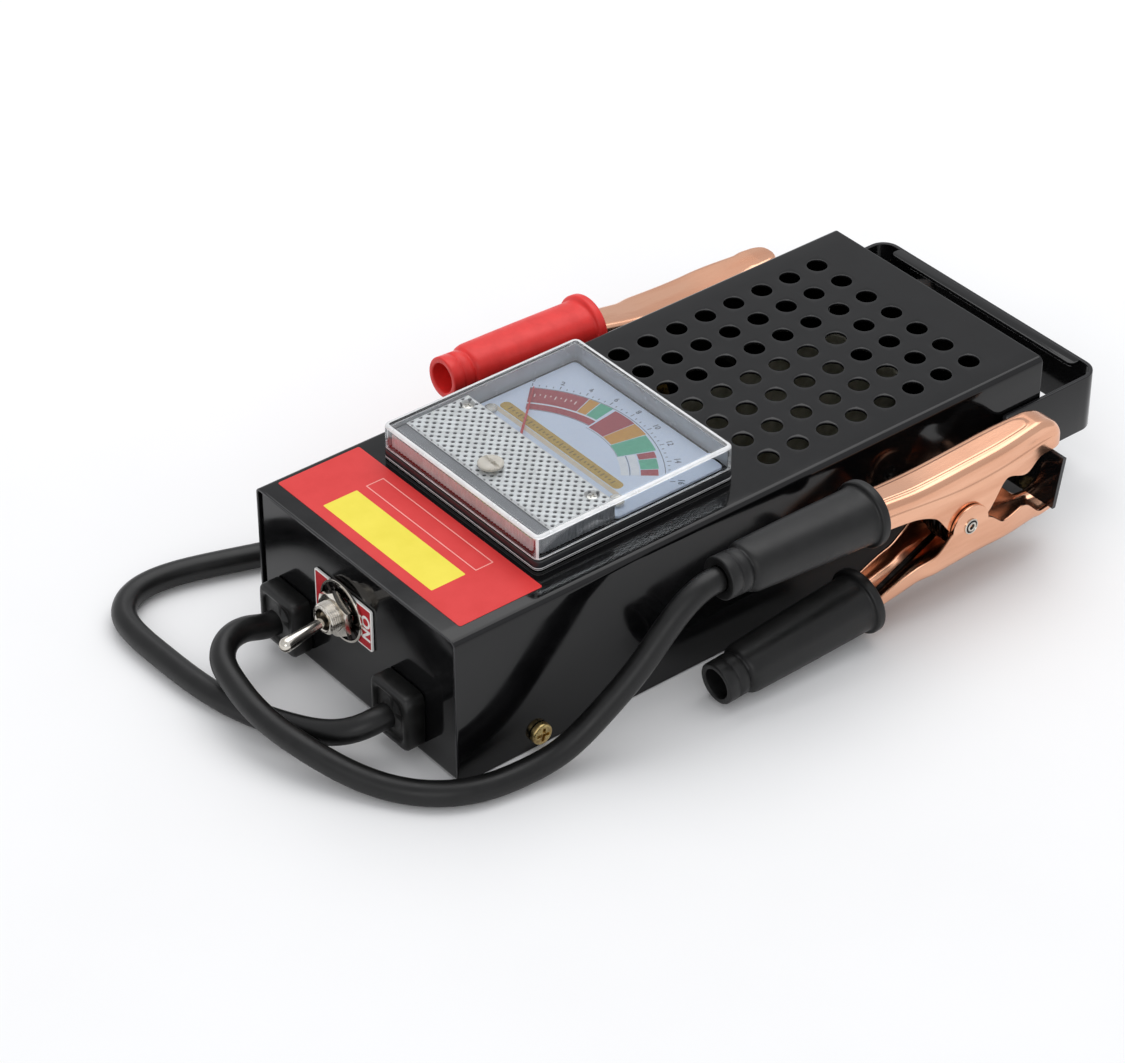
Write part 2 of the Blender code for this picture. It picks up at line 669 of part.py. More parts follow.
def channel_ring(s, back, edge, half_width, wall):
    """Section of a stamped channel: rounded back, two side walls down to the edge."""
    corner = min(CHANNEL_ROUND, (back - edge) * 0.6)
    ring = [(-half_width, edge)]
    for k in range(3):
        angle = math.pi / 4 * k
        ring.append((-half_width + corner * (1 - math.cos(angle)), back - corner * (1 - math.sin(angle))))
    ring += [(-x, h) for x, h in reversed(ring)]
    inner = half_width - wall
    roof = back - wall
    ring += [(inner, edge), (inner, roof), (-inner, roof), (-inner, edge)]
    return [Vector((x, s, h)) for x, h in ring]


def handle_at(share):
    """A place along the handle, from the grip's flange (0) to the pin's lugs (1)."""
    return -HANDLE_START + share * (HANDLE_START - LUG_RADIUS)


def mouth_at(share):
    """A place along the jaw, from the pin's lugs (0) to where the nose starts to round (1)."""
    return LUG_RADIUS + share * (CLAMP_BITE_REACH + NOSE_LENGTH - NOSE_ROUND - LUG_RADIUS)


def lead_lines():
    """Back, handle edge and mouth edge of the half with the lead, as (along, height) points."""
    start = grip_axis(-HANDLE_START, LEAD_RISE, LEAD_TILT)
    low = start + LEAD_TAIL[0]
    backs = [(-HANDLE_START, start + LEAD_TAIL[1]), (handle_at(0.66), LEAD_BACK),
             (LUG_RADIUS / 2, LEAD_BACK + CLAMP_WALL / 2), (mouth_at(1.02), BITE + LEAD_JAW_DEPTH)]
    edges = [(-HANDLE_START, low), (handle_at(0.43), low - CLAMP_WALL), (handle_at(0.76), LEAD_SILL),
             (-LUG_RADIUS, 0.0)]
    mouth = [(LUG_RADIUS, 0.0), (mouth_at(0.39), LEAD_EYE), (mouth_at(0.76), LEAD_TOOTH),
             (mouth_at(1.06), BITE)]
    return backs, edges, mouth


def free_lines():
    """The same lines of the slimmer free half."""
    start = grip_axis(-HANDLE_START, FREE_RISE, FREE_TILT)
    high = start + FREE_TAIL[1]
    backs = [(-HANDLE_START, high), (handle_at(0.86), FREE_BACK + CLAMP_WALL * 0.7), (LUG_RADIUS, FREE_BACK),
             (mouth_at(0.7), FREE_BACK + CLAMP_WALL / 2), (mouth_at(1.18), BITE + FREE_JAW_DEPTH)]
    edges = [(-HANDLE_START, start + FREE_TAIL[0]), (handle_at(0.41), FREE_SILL * 1.45),
             (handle_at(0.76), FREE_SILL), (-LUG_RADIUS, 0.0)]
    mouth = [(LUG_RADIUS, 0.0), (mouth_at(0.33), FREE_EYE), (mouth_at(0.7), FREE_TOOTH),
             (mouth_at(1.14), BITE)]
    return backs, edges, mouth


def clamp_half(name, free, side, parent):
    """One stamped half: tail in the grip, pin lugs, eye, tooth and biting nose."""
    tail = -(HANDLE_START + TAIL_LENGTH)
    nose = CLAMP_BITE_REACH + NOSE_LENGTH
    lug_width = FREE_HALF_WIDTH if free else CLAMP_HALF_WIDTH
    rise, tilt, ends = (FREE_RISE, FREE_TILT, FREE_TAIL) if free else (LEAD_RISE, LEAD_TILT, LEAD_TAIL)
    depth = FREE_JAW_DEPTH if free else LEAD_JAW_DEPTH
    backs, edges, mouth = free_lines() if free else lead_lines()
    widths = [(-HANDLE_START, TAIL_HALF_WIDTH), (handle_at(0.53), CLAMP_HALF_WIDTH),
              (handle_at(0.83), lug_width), (mouth_at(0.17), lug_width), (nose, NOSE_HALF_WIDTH)]
    stations = [tail] + [handle_at(share) for share in (0.0, 0.23, 0.41, 0.53, 0.65, 0.76, 0.88)]
    stations += [-LUG_RADIUS * math.cos(math.pi * k / 6) for k in range(7)]
    stations += [mouth_at(share) for share in (0.11, 0.23, 0.39, 0.57, 0.73, 0.88, 1.0)]
    stations += [nose - NOSE_ROUND * math.cos(math.pi / 2 * k / 3) for k in range(1, 4)]
    rings = []
    for s in stations:
        if s < -HANDLE_START:
            edge, back = (grip_axis(s, rise, tilt) + offset for offset in ends)
        else:
            back = flowing(backs, s)
            if s <= -LUG_RADIUS:
                edge = flowing(edges, s)
            elif s < LUG_RADIUS:
                edge = -math.sqrt(max(LUG_RADIUS ** 2 - s ** 2, 0.0))
            else:
                edge = eased(mouth, s)
        into_nose = (s - (nose - NOSE_ROUND)) / NOSE_ROUND
        if into_nose > 0:
            back -= (depth - 2 * CLAMP_WALL) * (1 - math.sqrt(max(1 - into_nose ** 2, 0.0)))
        ring = channel_ring(s, back, edge, eased(widths, s), CLAMP_WALL)
        rings.append([Vector((p.x, p.y, side * p.z)) for p in ring])
    half = new_object(name, loft(bmesh.new(), rings), copper_plate(), parent)
    reach = 2 * FREE_HALF_WIDTH
    boolean(half, rod(PIN_RADIUS + HOLE_PLAY, VENT_SIDES, (1, 0, 0), (-reach, 0, 0), 2 * reach))


def grip(name, free, side, material, parent):
    """A moulded boot: flange, tapering body and collar, with a pocket for the channel's tail; the
    free half's collar is open."""
    axis, tilt, ends = (FREE_RISE, FREE_TILT, FREE_TAIL) if free else (LEAD_RISE, LEAD_TILT, LEAD_TAIL)
    lean = math.radians(tilt)

    def ring(half_width, half_height, back):
        points = []
        for x, h in superellipse(half_width, half_height, GRIP_SIDES, 2.3):
            s = -HANDLE_START - back * math.cos(lean) + h * math.sin(lean)
            rise = axis + back * math.sin(lean) + h * math.cos(lean)
            points.append(Vector((x, s, side * rise)))
        return points
    wide, tall = GRIP_FLANGE_HALF_WIDTH, GRIP_FLANGE_HALF_HEIGHT
    chamfer = GRIP_FLANGE_LENGTH * 0.22
    body_end = GRIP_FLANGE_LENGTH + GRIP_BODY_LENGTH
    rows = [(wide - chamfer, tall - chamfer, FIT), (wide, tall, FIT + chamfer),
            (wide, tall, GRIP_FLANGE_LENGTH - chamfer), (wide - chamfer, tall - chamfer, GRIP_FLANGE_LENGTH),
            (GRIP_HALF_WIDTH, GRIP_HALF_HEIGHT, GRIP_FLANGE_LENGTH)]
    for share in (0.5, 0.93, 1.0):
        shrink = 1 - (1 - GRIP_TAPER) * share - (0.06 if share == 1.0 else 0.0)
        rows.append((GRIP_HALF_WIDTH * shrink, GRIP_HALF_HEIGHT * shrink,
                     GRIP_FLANGE_LENGTH + GRIP_BODY_LENGTH * share))
    collar = COLLAR_RADIUS
    rows += [(collar, collar, body_end), (collar, collar, GRIP_LENGTH - chamfer),
             (collar - chamfer / 2, collar - chamfer / 2, GRIP_LENGTH)]
    if free:
        rows += [(COLLAR_BORE_RADIUS, COLLAR_BORE_RADIUS, GRIP_LENGTH),
                 (COLLAR_BORE_RADIUS, COLLAR_BORE_RADIUS, GRIP_LENGTH - COLLAR_BORE_DEPTH)]
    boot = new_object(name, loft(bmesh.new(), [ring(*row) for row in rows]), material, parent)
    deep = -(HANDLE_START + TAIL_LENGTH + FIT)
    half_width = TAIL_HALF_WIDTH + FIT
    pocket = []
    for s in (deep, -HANDLE_START + GRIP_FLANGE_LENGTH):
        low = side * (grip_axis(s, axis, tilt) + ends[0] - FIT)
        high = side * (grip_axis(s, axis, tilt) + ends[1] + FIT)
        pocket.append([Vector((-half_width, s, low)), Vector((half_width, s, low)),
                       Vector((half_width, s, high)), Vector((-half_width, s, high))])
    boolean(boot, loft(bmesh.new(), pocket))


def clamp_spring(name, parent):
    """A torsion spring round the pin: the coil fills the channel, the legs press the handles apart."""
    turns = COIL_TURNS + 0.45
    room = 2 * (CLAMP_HALF_WIDTH - CLAMP_WALL - 2 * FIT)
    wire = (room - turns * CURL_GAP) / (turns + 1)
    under = CLAMP_WALL + FIT + wire * 0.62
    leg_s = -HANDLE_START + GRIP_FLANGE_LENGTH
    leg_x = min((room - wire) / 2, TAIL_HALF_WIDTH - CLAMP_WALL - 2 * FIT - wire / 2)
    heights = [flowing(lead_lines()[0], leg_s) - under, flowing(free_lines()[0], leg_s) - under]
    tangents = [math.atan2(h, leg_s) - math.acos(COIL_RADIUS / math.hypot(leg_s, h)) for h in heights]
    sweep = sum(tangents) + 2 * math.pi * COIL_TURNS
    count = math.ceil(CURL_POINTS * sweep / (2 * math.pi))
    coil = []
    for i in range(count + 1):
        angle = tangents[0] - sweep * i / count
        x = (room - wire) * (i / count - 0.5)
        coil.append(Vector((x, COIL_RADIUS * math.cos(angle), COIL_RADIUS * math.sin(angle))))
    first = Vector((-leg_x, leg_s, heights[0]))
    last = Vector((leg_x, leg_s, -heights[1]))
    shares = (0.15, 0.4, 0.7, 1.0)
    points = [coil[0].lerp(first, share) for share in reversed(shares)] + coil
    points += [coil[-1].lerp(last, share) for share in shares]
    tube(name, points, wire, spring_steel(), 1, parent)
    report_least_gap(name, points, wire)


def report_least_gap(name, points, diameter):
    """Measures a wound wire's least gap to itself on points along it, and prints it."""
    fine = []
    for p, q in zip(points, points[1:]):
        fine += [p.lerp(q, k / 6) for k in range(6)]
    reach = math.pi * COIL_RADIUS
    least = 1.0
    along = [0.0]
    for p, q in zip(fine, fine[1:]):
        along.append(along[-1] + (q - p).length)
    for i, p in enumerate(fine):
        for j in range(i + 1, len(fine)):
            if along[j] - along[i] > reach:
                least = min(least, (p - fine[j]).length - diameter)
    print(f"{name}: least gap to itself {least * 1000:.2f} mm")


def make_clamp(prefix, x, flipped, material):
    """A clamp on its ear: the half with the lead, the free half, pin, spring and grips."""
    turn = (0.0, 180.0, 0.0) if flipped else (0.0, 0.0, 0.0)
    pivot = anchor(prefix + "_pivot", (x, CLAMP_Y, STRAP_MIDDLE), turn)
    clamp_half(prefix + "_lead_half", False, 1, pivot)
    clamp_half(prefix + "_free_half", True, -1, pivot)
    grip(prefix + "_lead_grip", False, 1, material, pivot)
    grip(prefix + "_free_grip", True, -1, material, pivot)
    clamp_spring(prefix + "_spring", pivot)
    outside = FREE_HALF_WIDTH + FIT
    head = [(PIN_HEAD_RADIUS * 0.7, outside + PIN_HEAD_HEIGHT),
            (PIN_HEAD_RADIUS, outside + PIN_HEAD_HEIGHT * 0.4),
            (PIN_HEAD_RADIUS, outside), (PIN_RADIUS, outside)]
    profile = head + [(radius, -reach) for radius, reach in reversed(head)]
    pin = turned_to(profile, VENT_SIDES, (1, 0, 0), (0, 0, 0))
    new_object(prefix + "_pin", pin, bright_nickel(), pivot)


def make_meter():
    """The panel meter: bezel and tub, window, apron, dial, movement and fixings."""
    case = anchor("meter", (0.0, METER_Y, 0.0))
    half_width, half_length = METER_WIDTH / 2, METER_LENGTH / 2
    well = TUB_RADIUS - TUB_WALL
    bezel = rounded_rectangle(half_width, half_length, METER_CORNER)
    base = new_object("meter_base", prism(bezel, "Z", BEZEL_BOTTOM, BEZEL_TOP),
                      finish("grey_phenolic", (0.16, 0.16, 0.17), 0.45), case)
    tub_height = BEZEL_TOP - BEZEL_HEIGHT / 2 - TUB_BOTTOM
    boolean(base, rod(TUB_RADIUS, TUB_SIDES, (0, 0, 1), (0, 0, TUB_BOTTOM), tub_height), "UNION")
    floor = TUB_BOTTOM + TUB_WALL
    boolean(base, rod(well, TUB_SIDES, (0, 0, 1), (0, 0, floor), BEZEL_TOP + BEZEL_HEIGHT - floor))

    outer = (half_width - WINDOW_INSET, half_length - WINDOW_INSET)
    inner = (outer[0] - WINDOW_WALL, outer[1] - WINDOW_WALL)
    inner_corner = METER_CORNER - WINDOW_WALL
    round_edge = WINDOW_WALL * 0.5
    rows = [(inner, inner_corner, WINDOW_TOP - WINDOW_WALL), (inner, inner_corner, WINDOW_BOTTOM),
            (outer, METER_CORNER, WINDOW_BOTTOM), (outer, METER_CORNER, WINDOW_TOP - round_edge),
            ((outer[0] - round_edge, outer[1] - round_edge), METER_CORNER - round_edge, WINDOW_TOP)]
    rings = [[Vector((x, y, z)) for x, y in rounded_rectangle(size[0], size[1], radius)]
             for size, radius, z in rows]
    clear = finish("clear_styrene", (0.93, 0.95, 0.97), 0.05, 0.0, 0.25)
    window = new_object("meter_window", loft(bmesh.new(), rings), clear, case)
    adjust = (0, -ADJUST_FORWARD, WINDOW_TOP - 3 * WINDOW_WALL)
    boolean(window, rod(ADJUST_SHANK_RADIUS + HOLE_PLAY, ROUND_SIDES, (0, 0, 1), adjust, 6 * WINDOW_WALL))

    apron_top = WINDOW_TOP - WINDOW_WALL - FIT
    apron_front = -inner[1] + FIT
    apron_half = inner[0] - FIT
    apron_back = apron_front + APRON_LENGTH
    apron_low = apron_top - APRON_THICKNESS
    skirt = min(apron_low - FIT, POINTER_Z + POINTER_THICKNESS / 2 + APRON_CLEAR)
    outline = rounded_rectangle(apron_half, APRON_LENGTH / 2, inner_corner, FIT, 3,
                                (0.0, apron_front + APRON_LENGTH / 2))
    apron = new_object("meter_apron", prism(outline, "Z", apron_low, apron_top),
                       finish("silvered_styrene", (0.68, 0.67, 0.64), 0.25, 0.6), case)
    boolean(apron, box((-apron_half + FIT, apron_back - APRON_THICKNESS, skirt),
                       (apron_half - FIT, apron_back - FIT, apron_low + APRON_THICKNESS / 2)), "UNION")
    boolean(apron, rod(ADJUST_SHANK_RADIUS + HOLE_PLAY, ROUND_SIDES, (0, 0, 1), adjust, 6 * WINDOW_WALL))

    dial_back = inner[1] - FIT
    dial_front = dial_back - DIAL_LENGTH
    dial_half = inner[0] - FIT
    outline = rounded_rectangle(dial_half, DIAL_LENGTH / 2, FIT, inner_corner, 3,
                                (0.0, dial_front + DIAL_LENGTH / 2))
    dial = new_object("meter_dial", prism(outline, "Z", DIAL_BOTTOM, DIAL_TOP),
                      finish("printed_dial", (0.78, 0.84, 0.93), 0.5), case)
    screw_y = dial_front + 2.2 * DIAL_SCREW_RADIUS
    holes = bmesh.new()
    base_holes = bmesh.new()
    shank = DIAL_SCREW_RADIUS * 0.6
    depth = BEZEL_HEIGHT * 0.7
    for name, side in (("near", 1), ("far", -1)):
        x = side * (half_width - DIAL_SCREW_INSET)
        under = (x, screw_y, DIAL_BOTTOM - DIAL_THICKNESS)
        rod(shank + HOLE_PLAY, SMALL_SIDES, (0, 0, 1), under, 3 * DIAL_THICKNESS, holes)
        low = BEZEL_TOP - depth
        rod(shank + HOLE_PLAY, SMALL_SIDES, (0, 0, 1), (x, screw_y, low - FIT), 2 * depth, base_holes)
        stud_hole = (side * STUD_SPREAD / 2, 0, TUB_BOTTOM - TUB_WALL)
        rod(STUD_RADIUS + HOLE_PLAY, SMALL_SIDES, (0, 0, 1), stud_hole, 3 * TUB_WALL, base_holes)
        profile = [(shank, low), (shank, DIAL_TOP + FIT), (DIAL_SCREW_RADIUS, DIAL_TOP + FIT),
                   (DIAL_SCREW_RADIUS, DIAL_TOP + FIT + DIAL_SCREW_RADIUS * 0.4),
                   (DIAL_SCREW_RADIUS * 0.7, DIAL_TOP + FIT + DIAL_SCREW_RADIUS * 0.65)]
        screw = turned_to(profile, SMALL_SIDES, (0, 0, 1), (x, screw_y, 0))
        new_object("dial_screw_" + name, screw, bright_nickel(), case)
    boolean(dial, holes)
    boolean(base, base_holes)

    movement_top = POINTER_Z - HUB_RADIUS - FIT
    magnet_top = movement_top - COIL_SIZE * 0.4
    ring = [(MAGNET_BORE, floor + FIT), (MAGNET_RADIUS, floor + FIT), (MAGNET_RADIUS, magnet_top),
            (MAGNET_BORE, magnet_top)]
    magnet = new_object("meter_magnet", turned_to(ring, ROUND_SIDES, (0, 0, 1), (0, -PIVOT_FORWARD, 0), True),
                        finish("cast_alnico", (0.2, 0.2, 0.21), 0.5, 0.8), case)
    bridge = box((-MAGNET_RADIUS, -PIVOT_FORWARD - HUB_RADIUS, floor + FIT),
                 (MAGNET_RADIUS, -PIVOT_FORWARD + HUB_RADIUS, floor + FIT + 2 * TUB_WALL))
    boolean(magnet, bridge, "UNION")

    pivot = anchor("pointer_pivot", (0.0, PIVOT_Y, POINTER_Z), (0.0, 0.0, POINTER_ZERO))
    thick = POINTER_THICKNESS / 2
    tip = POINTER_WIDTH / 4
    needle = [(-POINTER_WIDTH, -POINTER_TAIL), (POINTER_WIDTH, -POINTER_TAIL), (2 * tip, 0.0),
              (tip, POINTER_LENGTH), (-tip, POINTER_LENGTH), (-2 * tip, 0.0)]
    pointer = new_object("meter_pointer", prism(needle, "Z", -thick, thick),
                         finish("pointer_lacquer", (0.62, 0.05, 0.04), 0.4), pivot)
    shaft_foot = floor + FIT + 2 * TUB_WALL + FIT - POINTER_Z
    hub = [(HUB_RADIUS * 0.4, shaft_foot), (HUB_RADIUS * 0.4, -HUB_RADIUS), (HUB_RADIUS, -HUB_RADIUS),
           (HUB_RADIUS, HUB_RADIUS * 0.8)]
    boolean(pointer, turned(hub, ROUND_SIDES), "UNION")

    adjust_anchor = anchor("zero_adjust_axis", (0.0, ADJUST_Y, 0.0))
    head_low = WINDOW_TOP + FIT
    profile = [(ADJUST_SHANK_RADIUS, head_low - ADJUST_SHANK_LENGTH), (ADJUST_SHANK_RADIUS, head_low),
               (ADJUST_HEAD_RADIUS, head_low), (ADJUST_HEAD_RADIUS, head_low + ADJUST_HEAD_HEIGHT * 0.6),
               (ADJUST_HEAD_RADIUS * 0.8, head_low + ADJUST_HEAD_HEIGHT)]
    screw = new_object("zero_adjust_screw", turned(profile, ROUND_SIDES), clear, adjust_anchor)
    slot_low = head_low + ADJUST_HEAD_HEIGHT * 0.45
    boolean(screw, box((-2 * ADJUST_HEAD_RADIUS, -ADJUST_SLOT / 2, slot_low),
                       (2 * ADJUST_HEAD_RADIUS, ADJUST_SLOT / 2, head_low + 2 * ADJUST_HEAD_HEIGHT)))

    for name, side in (("near", 1), ("far", -1)):
        x = side * STUD_SPREAD / 2
        head = STUD_RADIUS * 1.9
        profile = [(head, floor + FIT + STUD_RADIUS), (head, floor + FIT), (STUD_RADIUS, floor + FIT),
                   (STUD_RADIUS, TUB_BOTTOM - STUD_LENGTH)]
        stud = turned_to(profile, SMALL_SIDES, (0, 0, 1), (x, 0, 0))
        new_object("meter_stud_" + name, stud, brass(), case)
        nut_top = TUB_BOTTOM - FIT
        bore = STUD_RADIUS + HOLE_PLAY
        nut = hex_nut(STUD_NUT_RADIUS, bore, STUD_NUT_HEIGHT, (0, 0, -1), (x, 0, nut_top))
        new_object("meter_nut_" + name, nut, brass(), case)


def hex_nut(radius, bore, height, direction, place):
    """A hexagon nut with chamfered corners and a round bore, its axis along a direction."""
    sides = 12
    flat = radius * math.cos(math.pi / 6)

    def ring(z, even, odd):
        points = []
        for i in range(sides):
            reach, angle = (even, odd)[i % 2], math.pi * i / 6
            points.append(Vector((reach * math.cos(angle), reach * math.sin(angle), z)))
        return points
    chamfer = height * 0.15
    rings = [ring(0.0, bore, bore), ring(0.0, flat * 0.99, flat * 0.99), ring(chamfer, radius, flat),
             ring(height - chamfer, radius, flat), ring(height, flat * 0.99, flat * 0.99),
             ring(height, bore, bore)]
    bm = loft(bmesh.new(), rings, True)
    turn = Vector((0, 0, 1)).rotation_difference(Vector(direction)).to_matrix().to_4x4()
    bmesh.ops.transform(bm, matrix=Matrix.Translation(Vector(place)) @ turn, verts=bm.verts)
    return bm


def make_switch():
    """The toggle switch: body behind the panel, bushing, legend plate, washer, nut and lever."""
    axis = anchor("switch_axis", (TOGGLE_X, PANEL_Y, TOGGLE_HEIGHT))
    bore = BUSHING_RADIUS + HOLE_PLAY
    plate_back = -FIT
    plate_front = plate_back - LEGEND_THICKNESS
    washer_back = plate_front - FIT
    nut_back = washer_back - WASHER_THICKNESS - FIT
    outline = rounded_rectangle(LEGEND_WIDTH / 2, LEGEND_HEIGHT / 2, LEGEND_HEIGHT / 10)
    plate = new_object("switch_plate", prism(outline, "Y", plate_front, plate_back),
                       finish("red_print", (0.55, 0.02, 0.05), 0.35), axis)
    through = 2 * SHEET + LEGEND_THICKNESS
    boolean(plate, rod(bore, GLAND_SIDES, (0, 1, 0), (0, plate_front - SHEET, 0), through))
    ring = [(bore, 0), (WASHER_RADIUS, 0), (WASHER_RADIUS, WASHER_THICKNESS), (bore, WASHER_THICKNESS)]
    washer = turned_to(ring, GLAND_SIDES, (0, -1, 0), (0, washer_back, 0), True)
    new_object("switch_washer", washer, bright_nickel(), axis)
    nut = hex_nut(NUT_RADIUS, bore, NUT_HEIGHT, (0, -1, 0), (0, nut_back, 0))
    new_object("switch_nut", nut, bright_nickel(), axis)
    body_front = SHEET + FIT
    chamfer = BUSHING_RADIUS * 0.12
    mouth = SHEET + BUSHING_REACH
    sleeve = [(BUSHING_BORE, 0), (BUSHING_RADIUS, 0), (BUSHING_RADIUS, mouth - chamfer),
              (BUSHING_RADIUS - chamfer, mouth), (BUSHING_BORE, mouth)]
    bushing = turned_to(sleeve, GLAND_SIDES, (0, -1, 0), (0, SHEET, 0), True)
    new_object("switch_bushing", bushing, bright_nickel(), axis)
    half_width, half_height = SWITCH_WIDTH / 2, SWITCH_HEIGHT / 2
    body = new_object("switch_body", box((-half_width, body_front, -half_height),
                                         (half_width, body_front + SWITCH_DEPTH, half_height)),
                      finish("brown_bakelite", (0.10, 0.05, 0.03), 0.45), axis)
    lugs = bmesh.new()
    for rise in (-1, 1):
        z = rise * SWITCH_HEIGHT / 4
        box((-SWITCH_TERMINAL / 2, body_front + SWITCH_DEPTH - SHEET, z - SHEET / 2),
            (SWITCH_TERMINAL / 2, body_front + SWITCH_DEPTH + SWITCH_TERMINAL, z + SHEET / 2), lugs)
    boolean(body, lugs, "UNION")

    pivot_y = PANEL_Y - BUSHING_REACH + LEVER_PIVOT_DEPTH
    pivot = anchor("lever_pivot", (TOGGLE_X, pivot_y, TOGGLE_HEIGHT), (0.0, 0.0, LEVER_TILT))
    ball = LEVER_BALL_RADIUS
    profile = [(ball * 0.5, -ball * 0.87), (ball * 0.87, -ball * 0.5), (ball, 0.0), (ball * 0.87, ball * 0.5),
               (LEVER_NECK_RADIUS, ball * 0.9), (LEVER_NECK_RADIUS * 1.1, LEVER_LENGTH * 0.45),
               (LEVER_TIP_RADIUS, LEVER_LENGTH * 0.93), (LEVER_TIP_RADIUS * 0.8, LEVER_LENGTH * 0.985),
               (LEVER_TIP_RADIUS * 0.4, LEVER_LENGTH)]
    lever = turned_to(profile, ROUND_SIDES, (0, -1, 0), (0, 0, 0))
    new_object("switch_lever", lever, bright_nickel(), pivot)


def make_glands():
    """Snap-in cord glands: squared head outside, round shank and barb inside the panel."""
    for name, x in zip(("right", "left"), GLAND_X):
        rows = [(0.80, -GLAND_REACH), (0.93, -GLAND_REACH * 0.92), (1.0, -GLAND_REACH * 0.73), (1.0, -FIT)]
        rings = []
        for scale, y in rows:
            outline = superellipse(GLAND_HALF_WIDTH * scale, GLAND_HALF_HEIGHT * scale, GLAND_SIDES, 3.2)
            rings.append([Vector((px, y, pz)) for px, pz in outline])
        back = SHEET + FIT
        for radius, y in ((GLAND_SHANK_RADIUS, -FIT), (GLAND_SHANK_RADIUS, back), (GLAND_BARB_RADIUS, back),
                          (GLAND_SHANK_RADIUS, back + GLAND_BARB_LENGTH)):
            rings.append([Vector((px, y, pz)) for px, pz in circle(radius, GLAND_SIDES)])
        place = anchor("gland_axis_" + name, (x, PANEL_Y, GLAND_HEIGHT))
        new_object("cord_gland_" + name, loft(bmesh.new(), rings), black_nylon(), place)


def collar_end(side, out):
    """A point on a lead grip's axis, some way out of its collar, on the near or the far clamp."""
    tilt = math.radians(LEAD_TILT)
    back = GRIP_LENGTH + FIT + out
    s = -HANDLE_START - back * math.cos(tilt)
    rise = LEAD_RISE + back * math.sin(tilt)
    return Vector((CLAMP_X[0 if side > 0 else 1], CLAMP_Y + s, STRAP_MIDDLE + side * rise))


def make_leads():
    """The two leads, from the glands to the clamps, lying on the surface the case stands on."""
    floor = CORD_DIAMETER / 2 + FIT
    stub = CORD_STRAIGHT * CORD_DIAMETER

    def off(place, steps):
        """Route points as steps off a place, none below the surface."""
        points = [Vector(place) + Vector(step) for step in steps]
        return [Vector((p.x, p.y, max(p.z, floor))) for p in points]

    def on_floor(place, steps):
        """Route points lying on the surface, as steps off a place in plan."""
        return [Vector((place[0] + x, place[1] + y, floor)) for x, y in steps]

    front = GLAND_FACE_Y - FIT
    right, left = (Vector((x, front, GLAND_HEIGHT)) for x in GLAND_X)
    near, far = collar_end(1, 0.0), collar_end(-1, 0.0)
    red = [right, right + Vector((0, -stub, 0))]
    red += off(right, [(-0.0011, -0.0075, -0.0011), (-0.0052, -0.0128, -0.0035), (-0.0137, -0.0173, -0.0066),
                       (-0.0250, -0.0209, -0.0093)])
    red += on_floor((-HALF_WIDTH, front), [(0.0370, -0.0257), (0.0165, -0.0298), (-0.0040, -0.0311),
                                           (-0.0195, -0.0309), (-0.0288, -0.0284), (-0.0354, -0.0218),
                                           (-0.0379, -0.0131), (-0.0370, -0.0036), (-0.0332, 0.0084)])
    red += on_floor(far, [(-0.0097, -0.0703), (-0.0042, -0.0523), (-0.0012, -0.0343)])
    red += off(far, [(-0.0001, -0.0173, -0.0027)]) + [collar_end(-1, stub), far]
    black = [left, left + Vector((0, -stub, 0))]
    black += off(left, [(-0.0009, -0.0101, 0.0017), (0.0014, -0.0193, 0.0027), (0.0078, -0.0256, 0.0019),
                        (0.0167, -0.0280, 0.0003), (0.0280, -0.0291, -0.0015), (0.0390, -0.0284, -0.0033),
                        (0.0510, -0.0258, -0.0053)])
    black += off((HALF_WIDTH, front, floor), [(-0.0170, -0.0179, 0.0013)])
    black += on_floor((HALF_WIDTH, front), [(-0.0058, -0.0109), (0.0035, -0.0021), (0.0092, 0.0089)])
    black += off((near.x, near.y, floor), [(-0.0077, -0.0718, 0.0004)])
    black += off(near, [(-0.0052, -0.0583, -0.0424), (-0.0030, -0.0443, -0.0330), (-0.0013, -0.0297, -0.0203),
                        (-0.0003, -0.0138, -0.0046), (0.0, -0.0081, -0.0011)])
    black += [collar_end(1, stub), near]
    for name, route in (("red_lead", red), ("black_lead", black)):
        points, length = smooth_route(route, CORD_STEP * CORD_DIAMETER)
        tube(name, points, CORD_DIAMETER, black_rubber(), 3)
        print(f"{name}: length {length:.3f} m")


